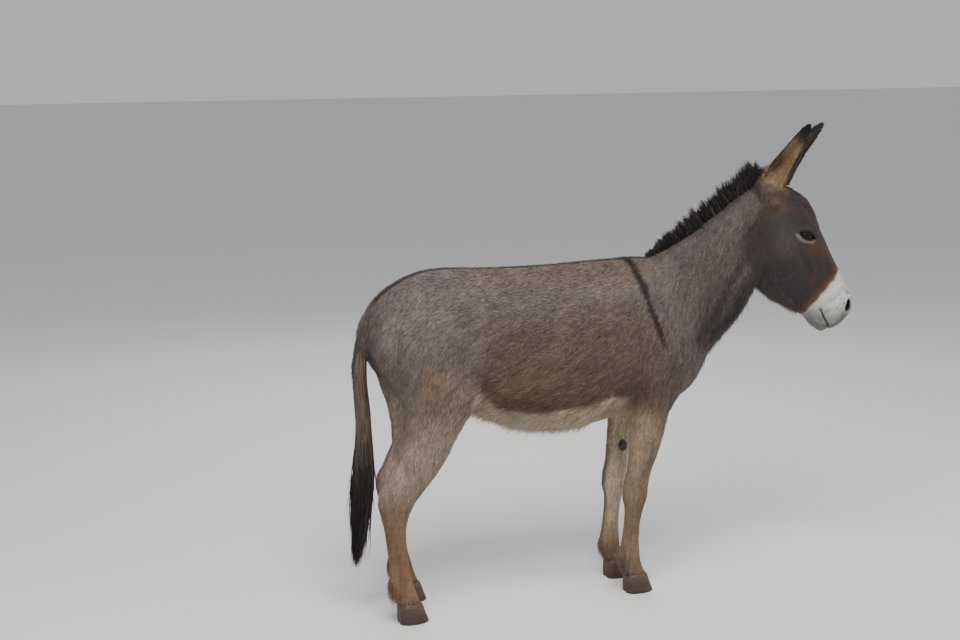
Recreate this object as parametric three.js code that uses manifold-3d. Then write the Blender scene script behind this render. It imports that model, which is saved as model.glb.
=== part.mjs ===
// A standing donkey at life size, as a still museum model.
// Millimetres, +Z up, +X towards the muzzle, and the donkey's right side on -Y.
// Flesh is modelled whole, as lofts joined into one solid, and then parted with thin cuts.
// Outlines are those of the coat, out to the tips of its hair.
import * as THREE from "three";
import { mergeVertices } from "three/addons/utils/BufferGeometryUtils.js";
import Module from "manifold-3d";

const wasm = await Module();
wasm.setup();

// ---- Driving dimensions ----
const WITHERS_HEIGHT = 1028;
const CUT_GAP = 0.4; // width of every cut between two named parts
const RIGHT = -1;
const LEFT = 1;

const HEAD_YAW = -6; // degrees, turned a little to the donkey's right
const HEAD_PITCH = 58.5; // degrees below level, from poll to muzzle
const POLL = new THREE.Vector3(835, 0, 1225);

const HOOF_HEIGHT = 52;
const HOOF_LENGTH = 94;
const HOOF_WIDTH = 70;
const FORE_HOOF_X = 368;
const HIND_HOOF_X = -357;
const LEFT_HIND_STEP = 48; // the left hind foot stands this far ahead of the right one

const EYE_RADIUS = 21;
const EYE_PLACE = { along: 180, up: 3, side: 68 };
const EYE_SLANT = 38; // degrees, front corner up, from the head's own axis
const FISSURE = { length: 55, height: 27 };

// ---- Materials, one for each colour of the coat, horn and eye ----
const paint = (colour, roughness) =>
  new THREE.MeshStandardMaterial({ color: colour, roughness, metalness: 0 });
const COAT_GREY = paint("#6b5f57", 0.95);
const COAT_HEAD = paint("#5b5049", 0.95);
const COAT_LEG = paint("#8d7b68", 0.95);
const COAT_WHITE = paint("#d9d4ca", 0.9);
const EAR_BROWN = paint("#6e5a44", 0.95);
const MANE_BLACK = paint("#211a18", 0.85);
const HORN = paint("#4a3a30", 0.6);
const EYE_DARK = paint("#140d0a", 0.12);

const v = (x, y, z) => new THREE.Vector3(x, y, z);

// ---- Lofts ----
// Rows are key stations: the first number places the station, the others are its sizes.
// Each gap is filled by a smooth curve through the rows, with perGap steps.
function fillRows(rows, perGap) {
  const slope = (i, k) => {
    const before = rows[Math.max(i - 1, 0)];
    const after = rows[Math.min(i + 1, rows.length - 1)];
    return (after[k] - before[k]) / (after[0] - before[0]);
  };
  const filled = [];
  for (let i = 0; i < rows.length - 1; i++) {
    const gap = rows[i + 1][0] - rows[i][0];
    for (let step = 0; step < perGap; step++) {
      const t = step / perGap;
      const blend = [2 * t ** 3 - 3 * t * t + 1, t ** 3 - 2 * t * t + t, 3 * t * t - 2 * t ** 3, t ** 3 - t * t];
      filled.push(
        rows[i].map((value, k) =>
          k === 0
            ? value + gap * t
            : blend[0] * value +
              blend[1] * gap * slope(i, k) +
              blend[2] * rows[i + 1][k] +
              blend[3] * gap * slope(i + 1, k),
        ),
      );
    }
  }
  filled.push([...rows.at(-1)]);
  return filled;
}

// A closed ring in a plane with its own side and up axes.
// It is widest at "middle", and its upper and lower halves have a squareness of their own.
function eggRing({ origin, side, up, top, bottom, half, middle, upper = 2, lower = 2 }, segments) {
  const ring = [];
  for (let i = 0; i < segments; i++) {
    const angle = (2 * Math.PI * i) / segments;
    const across = Math.sin(angle);
    const along = Math.cos(angle);
    const power = 2 / (along > 0 ? upper : lower);
    const reach = along > 0 ? top - middle : middle - bottom;
    ring.push(
      origin
        .clone()
        .addScaledVector(side, half * Math.sign(across) * Math.abs(across) ** power)
        .addScaledVector(up, middle + reach * Math.sign(along) * Math.abs(along) ** power),
    );
  }
  return ring;
}

// Joins rings of equal length into one closed surface, with a fan over each end.
function skinRings(rings) {
  const count = rings[0].length;
  const points = rings.flat();
  const centre = (ring) => ring.reduce((sum, p) => sum.add(p), new THREE.Vector3()).divideScalar(ring.length);
  const first = points.push(centre(rings[0])) - 1;
  const last = points.push(centre(rings.at(-1))) - 1;
  const faces = [];
  for (let i = 0; i < count; i++) {
    const j = (i + 1) % count;
    faces.push(first, j, i);
    const end = (rings.length - 1) * count;
    faces.push(last, end + i, end + j);
    for (let r = 0; r < rings.length - 1; r++) {
      const low = r * count;
      const high = low + count;
      faces.push(low + i, low + j, high + j, low + i, high + j, high + i);
    }
  }
  return new THREE.BufferGeometry()
    .setAttribute("position", new THREE.Float32BufferAttribute(points.flatMap((p) => p.toArray()), 3))
    .setIndex(faces);
}

// ---- Solids ----
function solidOf(geometry) {
  const bare = geometry.clone();
  bare.deleteAttribute("normal");
  bare.deleteAttribute("uv");
  const merged = mergeVertices(bare, 1e-3);
  const made = new wasm.Manifold(
    new wasm.Mesh({
      numProp: 3,
      vertProperties: new Float32Array(merged.attributes.position.array),
      triVerts: new Uint32Array(merged.index.array),
    }),
  );
  if (made.volume() > 0) return made;
  const turned = new Uint32Array(merged.index.array);
  for (let i = 0; i < turned.length; i += 3) [turned[i + 1], turned[i + 2]] = [turned[i + 2], turned[i + 1]];
  return new wasm.Manifold(
    new wasm.Mesh({
      numProp: 3,
      vertProperties: new Float32Array(merged.attributes.position.array),
      triVerts: turned,
    }),
  );
}

function geometryOf(solid) {
  const mesh = solid.getMesh();
  return new THREE.BufferGeometry()
    .setAttribute("position", new THREE.BufferAttribute(new Float32Array(mesh.vertProperties), 3))
    .setIndex(new THREE.BufferAttribute(new Uint32Array(mesh.triVerts), 1));
}

const joined = (...solids) => solids.reduce((whole, solid) => whole.add(solid));

// All space on the side of a plane that its normal points to, as a very large box.
const REACH = 4000;
function halfSpace(point, normal) {
  const away = normal.clone().normalize();
  const box = new THREE.BoxGeometry(REACH, REACH, REACH);
  const turn = new THREE.Quaternion().setFromUnitVectors(new THREE.Vector3(0, 0, 1), away);
  const place = point.clone().addScaledVector(away, REACH / 2);
  return solidOf(box.applyMatrix4(new THREE.Matrix4().compose(place, turn, new THREE.Vector3(1, 1, 1))));
}

// Parts a solid along the walls of a region, given as planes whose normals all point into it.
function part(solid, planes) {
  const shifted = (distance) =>
    planes
      .map(([point, normal]) => halfSpace(point.clone().addScaledVector(normal.clone().normalize(), distance), normal))
      .reduce((region, half) => region.intersect(half));
  return {
    inside: solid.intersect(shifted(CUT_GAP / 2)),
    outside: solid.subtract(shifted(-CUT_GAP / 2)),
  };
}

// ---- Head frame: "along" runs from poll to muzzle, "up" is square to it towards the forehead ----
const yaw = THREE.MathUtils.degToRad(HEAD_YAW);
const pitch = THREE.MathUtils.degToRad(HEAD_PITCH);
const HEAD_FORWARD = new THREE.Vector3(Math.cos(yaw), Math.sin(yaw), 0);
const HEAD_SIDE = new THREE.Vector3(-Math.sin(yaw), Math.cos(yaw), 0);
const WORLD_UP = new THREE.Vector3(0, 0, 1);
const HEAD_ALONG = HEAD_FORWARD.clone().multiplyScalar(Math.cos(pitch)).addScaledVector(WORLD_UP, -Math.sin(pitch));
const HEAD_UP = HEAD_FORWARD.clone().multiplyScalar(Math.sin(pitch)).addScaledVector(WORLD_UP, Math.cos(pitch));
const headPoint = (along, side, up) =>
  POLL.clone().addScaledVector(HEAD_ALONG, along).addScaledVector(HEAD_SIDE, side).addScaledVector(HEAD_UP, up);
const headDirection = (along, side, up) => headPoint(along, side, up).sub(POLL).normalize();

// ---- Trunk: stations along X, from buttocks to breast ----
function trunk() {
  // x, top, bottom, half width, height of the widest line
  const rows = [
    [-458, 895, 800, 52, 850],
    [-432, 942, 735, 104, 842],
    [-380, 984, 655, 141, 830],
    [-281, WITHERS_HEIGHT - 5, 590, 166, 818],
    [-180, WITHERS_HEIGHT - 3, 590, 172, 800],
    [-100, WITHERS_HEIGHT - 7, 566, 183, 770],
    [0, WITHERS_HEIGHT - 9, 528, 197, 738],
    [110, WITHERS_HEIGHT - 8, 517, 200, 725],
    [220, WITHERS_HEIGHT - 3, 525, 184, 730],
    [310, WITHERS_HEIGHT, 540, 163, 745],
    [400, WITHERS_HEIGHT + 2, 550, 148, 755],
    [480, 1000, 566, 135, 760],
    [550, 905, 606, 112, 755],
    [592, 835, 665, 74, 750],
    [610, 785, 712, 34, 748],
  ];
  const side = new THREE.Vector3(0, 1, 0);
  return skinRings(
    fillRows(rows, 2).map(([x, top, bottom, half, middle]) =>
      eggRing(
        { origin: new THREE.Vector3(x, 0, 0), side, up: WORLD_UP, top, bottom, half, middle, upper: 1.9, lower: 2.15 },
        22,
      ),
    ),
  );
}

// ---- Neck: each station spans a point of the crest and a point of the throat ----
function neck() {
  // station, crest x, crest z, throat x, throat z, half width
  const rows = [
    [0, 340, 985, 500, 605, 118],
    [1, 424, 1030, 598, 692, 114],
    [2, 505, 1066, 646, 740, 98],
    [3, 585, 1112, 696, 786, 84],
    [4, 660, 1160, 738, 832, 75],
    [5, 725, 1207, 772, 884, 70],
    [6, 785, 1240, 812, 940, 66],
    [7, 836, 1234, 868, 1010, 54],
  ];
  return skinRings(
    fillRows(rows, 2).map(([, crestX, crestZ, throatX, throatZ, half]) => {
      const crest = new THREE.Vector3(crestX, 0, crestZ);
      const throat = new THREE.Vector3(throatX, 0, throatZ);
      const depth = crest.distanceTo(throat);
      const up = crest.clone().sub(throat).normalize();
      const side = new THREE.Vector3(0, 1, 0);
      return eggRing(
        { origin: throat, side, up, top: depth, bottom: 0, half, middle: depth * 0.42, upper: 1.75, lower: 2.1 },
        18,
      );
    }),
  );
}

// ---- Head: stations along its own axis, from poll to lips, swollen where bone and muscle stand out ----
const HEAD_SWELLS = [
  // centre, reach and push, each as along, side and up
  { at: [172, 70, 30], reach: [44, 40, 26], push: [0, 9, 2] }, // brow
  { at: [195, 62, -100], reach: [74, 60, 66], push: [0, 10, 0] }, // cheek
  { at: [272, 52, -8], reach: [46, 40, 22], push: [0, 6, 0] }, // cheek bone's ridge
  { at: [452, 46, 14], reach: [34, 40, 30], push: [2, 8, 2] }, // nostril
  { at: [462, 0, -92], reach: [30, 40, 26], push: [2, 0, -7] }, // chin
];

function skull() {
  // along, top, bottom, half width, height of the widest line
  const rows = [
    [-22, 8, -58, 24, -20],
    [0, 28, -88, 52, -18],
    [45, 54, -122, 66, -8],
    [85, 73, -140, 73, 2],
    [125, 81, -156, 77, 10],
    [165, 77, -176, 79, 12],
    [200, 69, -191, 76, 4],
    [240, 69, -196, 66, -14],
    [285, 67, -185, 56, -32],
    [330, 65, -164, 50, -34],
    [375, 64, -136, 47, -22],
    [420, 60, -112, 47, -12],
    [456, 50, -101, 46, -10],
    [482, 34, -86, 42, -14],
    [500, 8, -68, 32, -24],
    [509, -14, -52, 16, -32],
  ];
  const swell = ([along, side, up]) => {
    const moved = [along, side, up];
    for (const { at, reach, push } of HEAD_SWELLS) {
      const hand = Math.sign(side) || 1;
      const far = Math.hypot((along - at[0]) / reach[0], (Math.abs(side) - at[1]) / reach[1], (up - at[2]) / reach[2]);
      const share = Math.exp(-far * far);
      moved[0] += push[0] * share;
      moved[1] += hand * push[1] * share * (side === 0 ? 0 : 1);
      moved[2] += push[2] * share;
    }
    return headPoint(...moved);
  };
  const axes = { origin: v(0, 0, 0), side: v(0, 1, 0), up: v(0, 0, 1) };
  return skinRings(
    fillRows(rows, 2).map(([along, top, bottom, half, middle]) =>
      eggRing({ ...axes, top, bottom, half, middle, upper: 2.3, lower: 2.35 }, 22).map((p) => swell([along, p.y, p.z])),
    ),
  );
}

// A stretched ball in the head frame, turned about its side axis by a slant.
function headBall({ along, side, up }, [rAlong, rSide, rUp], slant = 0, [around, tall] = [12, 8]) {
  const ball = new THREE.SphereGeometry(1, around, tall);
  const tilt = THREE.MathUtils.degToRad(slant);
  const a = headDirection(Math.cos(tilt), 0, Math.sin(tilt));
  const b = headDirection(0, 1, 0);
  const c = headDirection(-Math.sin(tilt), 0, Math.cos(tilt));
  const matrix = new THREE.Matrix4()
    .makeBasis(a.multiplyScalar(rAlong), b.multiplyScalar(rSide), c.multiplyScalar(rUp))
    .setPosition(headPoint(along, side, up));
  return solidOf(ball.applyMatrix4(matrix));
}

// The gap between the lids: a lens whose two arcs meet at the eye's corners, pushed in from the side.
function lidGap(hand) {
  const half = FISSURE.length / 2;
  const arc = (rise, steps) =>
    Array.from({ length: steps }, (_, i) => {
      const t = -1 + (2 * i) / steps;
      return new THREE.Vector2(half * t, rise * (1 - t * t));
    });
  const outline = [...arc(-FISSURE.height * 0.46, 7), ...arc(FISSURE.height * 0.54, 7).map((p) => new THREE.Vector2(-p.x, p.y))];
  const depth = 40;
  const lens = new THREE.ExtrudeGeometry(new THREE.Shape(outline), { depth, bevelEnabled: false });
  const tilt = THREE.MathUtils.degToRad(EYE_SLANT);
  const a = headDirection(Math.cos(tilt), 0, Math.sin(tilt));
  const c = headDirection(-Math.sin(tilt), 0, Math.cos(tilt));
  const out = HEAD_SIDE.clone().multiplyScalar(hand);
  const matrix = new THREE.Matrix4()
    .makeBasis(a, c, out)
    .setPosition(headPoint(EYE_PLACE.along, hand * (EYE_PLACE.side + 4), EYE_PLACE.up));
  return solidOf(lens.applyMatrix4(matrix));
}

const eyeBall = (hand, radius) =>
  headBall({ ...EYE_PLACE, side: hand * EYE_PLACE.side }, [radius, radius, radius], 0, [14, 10]);

function head() {
  let made = solidOf(skull());
  for (const hand of [RIGHT, LEFT]) {
    const lids = headBall({ ...EYE_PLACE, side: hand * (EYE_PLACE.side - 1) }, [34, 25, 24], EYE_SLANT, [14, 10]);
    const opening = headBall({ along: 460, side: hand * 54, up: 20 }, [21, 13, 8], 62, [10, 6]);
    made = made.add(lids).subtract(opening).subtract(lidGap(hand)).subtract(eyeBall(hand, EYE_RADIUS + CUT_GAP));
  }
  return made;
}

// ---- Ears: long cups, open to the side, on a solid root ----
// Root and tip are head points: along, side and up. Open turns the cup's mouth forward of sideways.
const EARS = {
  [RIGHT]: { root: [-2, -46, -20], tip: [-117, -116, 166], open: -2 },
  [LEFT]: { root: [4, 38, 2], tip: [-54, 40, 262], open: 62 },
};

function earFrame(hand) {
  const root = headPoint(...EARS[hand].root);
  const axis = headPoint(...EARS[hand].tip).sub(root);
  const length = axis.length();
  axis.normalize();
  const open = THREE.MathUtils.degToRad(EARS[hand].open);
  const mouth = HEAD_SIDE.clone().multiplyScalar(hand * Math.cos(open)).addScaledVector(HEAD_FORWARD, Math.sin(open));
  mouth.addScaledVector(axis, -mouth.dot(axis)).normalize();
  const edge = new THREE.Vector3().crossVectors(mouth, axis);
  return { root, axis, length, mouth, edge };
}

function earShell(hand) {
  const { root, axis, length, mouth, edge } = earFrame(hand);
  // share of the length, half width, depth of the cup, wall
  const rows = [
    [0, 35, 36, 9],
    [0.12, 40, 43, 9],
    [0.25, 41, 42, 8.5],
    [0.4, 38, 33, 8],
    [0.57, 30, 24, 7],
    [0.76, 23, 15, 6],
    [0.91, 16, 9, 5],
    [0.985, 8, 5, 4],
    [1, 3, 4, 3],
  ];
  const steps = 7;
  const rings = rows.map(([share, half, depth, wall]) => {
    const arc = (w, d, i) => {
      const bend = THREE.MathUtils.degToRad(THREE.MathUtils.lerp(104, 62, share));
      const turn = -bend + (2 * bend * i) / steps;
      const out = (w * Math.sin(turn)) / Math.max(Math.sin(bend), 0.9);
      const deep = (d * (Math.cos(turn) - Math.cos(bend))) / (1 - Math.cos(bend));
      const bow = 20 * share * (1 - share); // the ear bows back between root and tip
      return root
        .clone()
        .addScaledVector(axis, length * share)
        .addScaledVector(edge, out)
        .addScaledVector(mouth, d / 2 - bow - deep);
    };
    const outer = Array.from({ length: steps + 1 }, (_, i) => arc(half, depth, i));
    const inner = Array.from({ length: steps + 1 }, (_, i) => arc(half - wall * 0.7, depth - wall, i));
    return [...outer, ...inner.reverse()];
  });
  return solidOf(capStrip(rings));
}

// Rings that run out along one wall and back along the other are closed by a strip, not by a fan.
function capStrip(rings) {
  const count = rings[0].length;
  const points = rings.flat();
  const faces = [];
  const end = (rings.length - 1) * count;
  for (let i = 0; i < count; i++) {
    const j = (i + 1) % count;
    for (let r = 0; r < rings.length - 1; r++) {
      const low = r * count;
      const high = low + count;
      faces.push(low + i, low + j, high + j, low + i, high + j, high + i);
    }
  }
  for (let i = 0; i < count / 2 - 1; i++) {
    const back = count - 1 - i;
    faces.push(i, back - 1, i + 1, i, back, back - 1);
    faces.push(end + i, end + i + 1, end + back - 1, end + i, end + back - 1, end + back);
  }
  return new THREE.BufferGeometry()
    .setAttribute("position", new THREE.Float32BufferAttribute(points.flatMap((p) => p.toArray()), 3))
    .setIndex(faces);
}

function earWithRoot(hand) {
  const { root, axis, mouth } = earFrame(hand);
  const bulb = new THREE.SphereGeometry(1, 12, 8);
  const matrix = new THREE.Matrix4()
    .makeBasis(
      new THREE.Vector3().crossVectors(mouth, axis).multiplyScalar(33),
      axis.clone().multiplyScalar(52),
      mouth.clone().multiplyScalar(29),
    )
    .setPosition(root.clone().addScaledVector(axis, -4).addScaledVector(mouth, -10));
  return earShell(hand).add(solidOf(bulb.applyMatrix4(matrix)));
}

// ---- Legs: level stations, each with its front, back, distance from the middle plane and half width ----
const LEG_SIDES = 12;
function leg(rows, hand, step = () => 0) {
  return solidOf(
    skinRings(
      rows.map(([z, front, back, away, half]) => {
        const shift = step(z);
        return eggRing(
          {
            origin: new THREE.Vector3(shift, hand * away, z),
            side: new THREE.Vector3(0, 1, 0),
            up: new THREE.Vector3(1, 0, 0),
            top: front,
            bottom: back,
            half,
            middle: (front + back) / 2,
            upper: 2.1,
            lower: 2.1,
          },
          LEG_SIDES,
        );
      }),
    ),
  );
}

function foreLeg(hand) {
  const rows = [
    [HOOF_HEIGHT + CUT_GAP, 396, 326, 76, 31],
    [80, 382, 316, 76, 28],
    [102, 375, 302, 76, 29],
    [125, 373, 302, 76, 29],
    [160, 371, 309, 76, 24],
    [215, 374, 316, 77, 23],
    [262, 383, 319, 78, 27],
    [302, 395, 314, 79, 33],
    [335, 398, 313, 80, 33],
    [380, 406, 325, 82, 33],
    [440, 428, 331, 85, 39],
    [500, 448, 334, 88, 46],
    [560, 462, 334, 91, 52],
    [640, 512, 326, 92, 60],
    [720, 560, 328, 90, 67],
    [800, 552, 362, 83, 67],
    [880, 518, 392, 70, 57],
    [960, 478, 412, 50, 38],
  ];
  return leg(rows, hand);
}

function hindLeg(hand) {
  const rows = [
    [HOOF_HEIGHT + CUT_GAP, -326, -402, 90, 31],
    [72, -338, -414, 90, 29],
    [92, -346, -428, 90, 30],
    [118, -353, -431, 90, 30],
    [155, -362, -430, 92, 25],
    [215, -371, -435, 94, 24],
    [285, -374, -444, 97, 28],
    [330, -363, -455, 98, 34],
    [365, -343, -464, 99, 37],
    [395, -316, -456, 100, 37],
    [440, -277, -430, 102, 37],
    [490, -247, -396, 105, 42],
    [550, -214, -378, 108, 51],
    [620, -172, -378, 110, 58],
    [700, -134, -412, 108, 62],
    [770, -130, -453, 100, 66],
    [820, -150, -467, 92, 68],
    [880, -196, -450, 82, 61],
    [945, -250, -400, 68, 42],
  ];
  const forward = hand === LEFT ? LEFT_HIND_STEP : 0;
  const hip = 640;
  const hock = 400;
  const swing = (z) => forward * (1 - THREE.MathUtils.smoothstep(z, hock, hip));
  return leg(rows, hand, swing);
}

// ---- Hooves: upright boxy horn on a flat sole ----
function hoof(hand, x, away) {
  // height, front, back and half width, all from the sole's middle
  const long = HOOF_LENGTH / 2;
  const wide = HOOF_WIDTH / 2;
  const rows = [
    [0, long, -long + 2, wide],
    [HOOF_HEIGHT / 2, long * 0.78, -long, wide * 0.94],
    [HOOF_HEIGHT, long * 0.6, -long * 0.98, wide * 0.9],
  ];
  return skinRings(
    rows.map(([z, front, back, half]) =>
      eggRing(
        {
          origin: new THREE.Vector3(x, hand * away, z),
          side: new THREE.Vector3(0, 1, 0),
          up: new THREE.Vector3(1, 0, 0),
          top: front,
          bottom: back,
          half,
          middle: -6,
          upper: 2.1,
          lower: 2.8,
        },
        16,
      ),
    ),
  );
}

// ---- Tail: the dock hangs from the croup, the switch of long hair from the dock ----
const SWITCH_TOP = 575;
function tailLoft(rows) {
  return skinRings(
    rows.map(([z, front, back, half]) =>
      eggRing(
        {
          origin: new THREE.Vector3(0, 0, z),
          side: new THREE.Vector3(0, 1, 0),
          up: new THREE.Vector3(1, 0, 0),
          top: front,
          bottom: back,
          half,
          middle: (front + back) / 2,
        },
        10,
      ),
    ),
  );
}

const dock = () =>
  tailLoft(
    [
      [SWITCH_TOP, -447, -491, 21],
      [670, -453, -500, 23],
      [750, -455, -507, 25],
      [830, -441, -494, 28],
      [890, -418, -472, 29],
      [930, -392, -446, 24],
      [955, -372, -412, 14],
    ],
  );

const hairSwitch = () =>
  tailLoft(
    [
      [150, -496, -504, 3],
      [205, -469, -518, 17],
      [275, -456, -516, 26],
      [350, -443, -516, 32],
      [440, -439, -508, 31],
      [510, -443, -501, 26],
      [SWITCH_TOP - CUT_GAP, -447, -492, 22],
    ],
  );

// ---- Mane: an upright crest of stiff hair, rooted in a groove of the neck ----
function mane(margin) {
  // station, root x, root z, tip x, tip z, half thickness at the root
  const rows = [
    [0, 432, 1022, 424, 1040, 10],
    [1, 500, 1054, 470, 1092, 14],
    [2, 570, 1094, 530, 1140, 16],
    [3, 650, 1144, 606, 1200, 17],
    [4, 715, 1188, 678, 1258, 17],
    [5, 768, 1220, 744, 1310, 16],
    [6, 805, 1228, 800, 1312, 14],
    [7, 838, 1228, 850, 1280, 8],
  ];
  return solidOf(
    skinRings(
      rows.map(([, rootX, rootZ, tipX, tipZ, half]) => {
        const root = new THREE.Vector3(rootX, 0, rootZ);
        const tip = new THREE.Vector3(tipX, 0, tipZ);
        const up = tip.clone().sub(root).normalize();
        const height = root.distanceTo(tip);
        return eggRing(
          {
            origin: root,
            side: new THREE.Vector3(0, 1, 0),
            up,
            top: height + margin,
            bottom: -8 - margin,
            half: half + margin,
            middle: height * 0.2,
            upper: 1.5,
            lower: 2.4,
          },
          10,
        );
      }),
    ),
  );
}

// ---- The whole flesh, parted into named pieces ----
const pieces = {};

const ears = { [RIGHT]: earWithRoot(RIGHT), [LEFT]: earWithRoot(LEFT) };
let flesh = joined(
  solidOf(trunk()),
  solidOf(neck()),
  head(),
  ears[RIGHT],
  ears[LEFT],
  foreLeg(RIGHT),
  foreLeg(LEFT),
  hindLeg(RIGHT),
  hindLeg(LEFT),
  solidOf(dock()),
);
flesh = flesh.subtract(mane(CUT_GAP));

function takeOff(name, planes, material) {
  const { inside, outside } = part(flesh, planes);
  pieces[name] = [inside, material];
  flesh = outside;
}

for (const [hand, name] of [[RIGHT, "ear_right"], [LEFT, "ear_left"]]) {
  const { root, axis } = earFrame(hand);
  takeOff(
    name,
    [
      [root.clone().addScaledVector(axis, 38), headDirection(-0.62, hand * 0.2, 1)],
      [headPoint(0, hand * 6, 0), HEAD_SIDE.clone().multiplyScalar(hand)],
      [headPoint(56, 0, 0), headDirection(-1, 0, 0)],
    ],
    EAR_BROWN,
  );
}
const headOnly = [v(0, 0, 700), WORLD_UP];
takeOff("muzzle", [[headPoint(362, 0, 0), headDirection(163, 0, 55)], headOnly], COAT_WHITE);
takeOff("head", [[v(800, 0, 905), v(340, 0, 45)]], COAT_HEAD);
takeOff("neck", [[v(430, 0, WITHERS_HEIGHT), v(310, 0, 190)]], COAT_GREY);
takeOff(
  "tail_dock",
  [[v(-440, 0, 850), v(-170, 0, 30)], [v(0, -33, 0), v(0, 1, 0)], [v(0, 33, 0), v(0, -1, 0)]],
  COAT_GREY,
);
for (const [hand, side] of [[RIGHT, "right"], [LEFT, "left"]]) {
  const inner = [v(0, hand * 28, 0), v(0, hand, 0)];
  takeOff(
    `foreleg_${side}`,
    [inner, [v(400, hand * 28, 552), v(0, hand * 0.62, -0.78)], [v(250, 0, 0), v(1, 0, 0)]],
    COAT_LEG,
  );
  takeOff(
    `hind_leg_${side}`,
    [inner, [v(-300, hand * 28, 640), v(-0.36, hand * 0.5, -0.78)], [v(-60, 0, 0), v(-1, 0, 0)]],
    COAT_LEG,
  );
}
pieces.trunk = [flesh, COAT_GREY];
pieces.mane = [mane(0), MANE_BLACK];
pieces.tail_switch = [solidOf(hairSwitch()), MANE_BLACK];
for (const [hand, side] of [[RIGHT, "right"], [LEFT, "left"]]) {
  pieces[`eye_${side}`] = [eyeBall(hand, EYE_RADIUS), EYE_DARK];
  const step = hand === LEFT ? LEFT_HIND_STEP : 0;
  pieces[`hoof_fore_${side}`] = [solidOf(hoof(hand, FORE_HOOF_X, 76)), HORN];
  pieces[`hoof_hind_${side}`] = [solidOf(hoof(hand, HIND_HOOF_X + step, 90)), HORN];
}

const donkey = new THREE.Group();
for (const [name, [solid, material]] of Object.entries(pieces)) {
  const mesh = new THREE.Mesh(geometryOf(solid), material);
  mesh.name = name;
  donkey.add(mesh);
}

// The origin is on the floor, at the middle of the whole length and width.
const size = new THREE.Box3().setFromObject(donkey);
const middle = size.getCenter(new THREE.Vector3());
donkey.position.set(-middle.x, -middle.y, 0);

export default donkey;
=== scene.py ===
"""A still, life-size model of a standing donkey: skin, coat, mane, tail, eyes and hooves."""

import math

import bmesh
import bpy
import numpy as np
import openvdb as vdb
from mathutils import Matrix, Vector


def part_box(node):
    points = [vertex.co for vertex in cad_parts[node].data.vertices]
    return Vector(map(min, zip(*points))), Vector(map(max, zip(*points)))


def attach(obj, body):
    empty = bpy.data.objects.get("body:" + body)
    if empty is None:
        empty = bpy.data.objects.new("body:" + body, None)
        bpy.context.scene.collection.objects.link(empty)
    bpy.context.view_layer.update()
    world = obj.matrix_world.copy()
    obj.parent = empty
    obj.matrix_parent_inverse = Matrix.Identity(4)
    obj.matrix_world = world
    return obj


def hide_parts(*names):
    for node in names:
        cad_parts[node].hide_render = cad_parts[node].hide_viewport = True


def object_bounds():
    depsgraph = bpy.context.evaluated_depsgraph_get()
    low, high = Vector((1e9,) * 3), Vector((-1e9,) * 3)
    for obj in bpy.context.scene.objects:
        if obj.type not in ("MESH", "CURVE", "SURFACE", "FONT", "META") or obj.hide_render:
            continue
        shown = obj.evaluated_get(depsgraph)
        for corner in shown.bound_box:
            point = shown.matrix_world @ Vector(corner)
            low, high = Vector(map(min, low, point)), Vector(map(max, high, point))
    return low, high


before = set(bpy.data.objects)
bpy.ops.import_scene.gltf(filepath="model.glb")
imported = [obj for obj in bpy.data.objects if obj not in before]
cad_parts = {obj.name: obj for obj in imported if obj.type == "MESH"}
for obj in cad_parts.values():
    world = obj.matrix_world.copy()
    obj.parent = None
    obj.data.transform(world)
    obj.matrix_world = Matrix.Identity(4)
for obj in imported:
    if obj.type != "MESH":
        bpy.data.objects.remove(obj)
solids_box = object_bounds()

RIGHT, LEFT = -1, 1
FLESH = ("trunk", "neck", "head", "muzzle", "ear_right", "ear_left", "foreleg_right", "foreleg_left",
         "hind_leg_right", "hind_leg_left", "tail_dock")

# ---- Body frame: x is counted from between fore and hind feet, as in the solids' own measures ----
FORE_HOOF_X = 0.368
SHIFT = FORE_HOOF_X - sum(corner[0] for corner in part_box("hoof_fore_right")) / 2
LEFT_HIND_STEP = 0.048

# ---- Head frame, in metres: along from poll to muzzle, side to the donkey's left, up to the forehead ----
POLL = np.array([0.835 - SHIFT, 0, 1.225])
YAW, PITCH = math.radians(-6), math.radians(58.5)
FORWARD = np.array([math.cos(YAW), math.sin(YAW), 0])
SIDEWAYS = np.array([-math.sin(YAW), math.cos(YAW), 0])
UPRIGHT = np.array([0, 0, 1.0])
HEAD_AXES = np.array([
    FORWARD * math.cos(PITCH) - UPRIGHT * math.sin(PITCH),
    SIDEWAYS,
    FORWARD * math.sin(PITCH) + UPRIGHT * math.cos(PITCH),
])
EARS = {
    RIGHT: {"root": (-2, -46, -20), "tip": (-117, -116, 166), "open": -2},
    LEFT: {"root": (4, 38, 2), "tip": (-54, 40, 262), "open": 62},
}
EYE = (0.180, 0.068, 0.003)
EYE_RADIUS = 0.0240
EYE_SLANT = math.radians(38)
EYE_LONG = HEAD_AXES[0] * math.cos(EYE_SLANT) + HEAD_AXES[2] * math.sin(EYE_SLANT)
EYE_LIFT = -HEAD_AXES[0] * math.sin(EYE_SLANT) + HEAD_AXES[2] * math.cos(EYE_SLANT)
NECK_CUT = {"point": np.array([0.662 - SHIFT, 0, 0.95]), "normal": np.array([0.947, 0, 0.322])}


def head_point(along, side, up):
    """A world point from head measures in metres."""
    return POLL + np.array([along, side, up]) @ HEAD_AXES


def head_mm(*place):
    return head_point(*(value / 1000 for value in place))


def to_head(points):
    return (points - POLL) @ HEAD_AXES.T


def unit(vectors):
    return vectors / np.maximum(np.linalg.norm(vectors, axis=-1, keepdims=True), 1e-9)


def smooth(low, high, values):
    share = np.clip((values - low) / (high - low), 0, 1)
    return share * share * (3 - 2 * share)


def fade(low, high, values):
    return 1 - smooth(low, high, values)


def near(points, centre, reach):
    """A soft blob: 1 at the centre, fading over the reach."""
    return np.exp(-np.sum(((points - np.asarray(centre)) / np.asarray(reach)) ** 2, axis=-1))


def body(x, y, z):
    return np.array([x - SHIFT, y, z])


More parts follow.
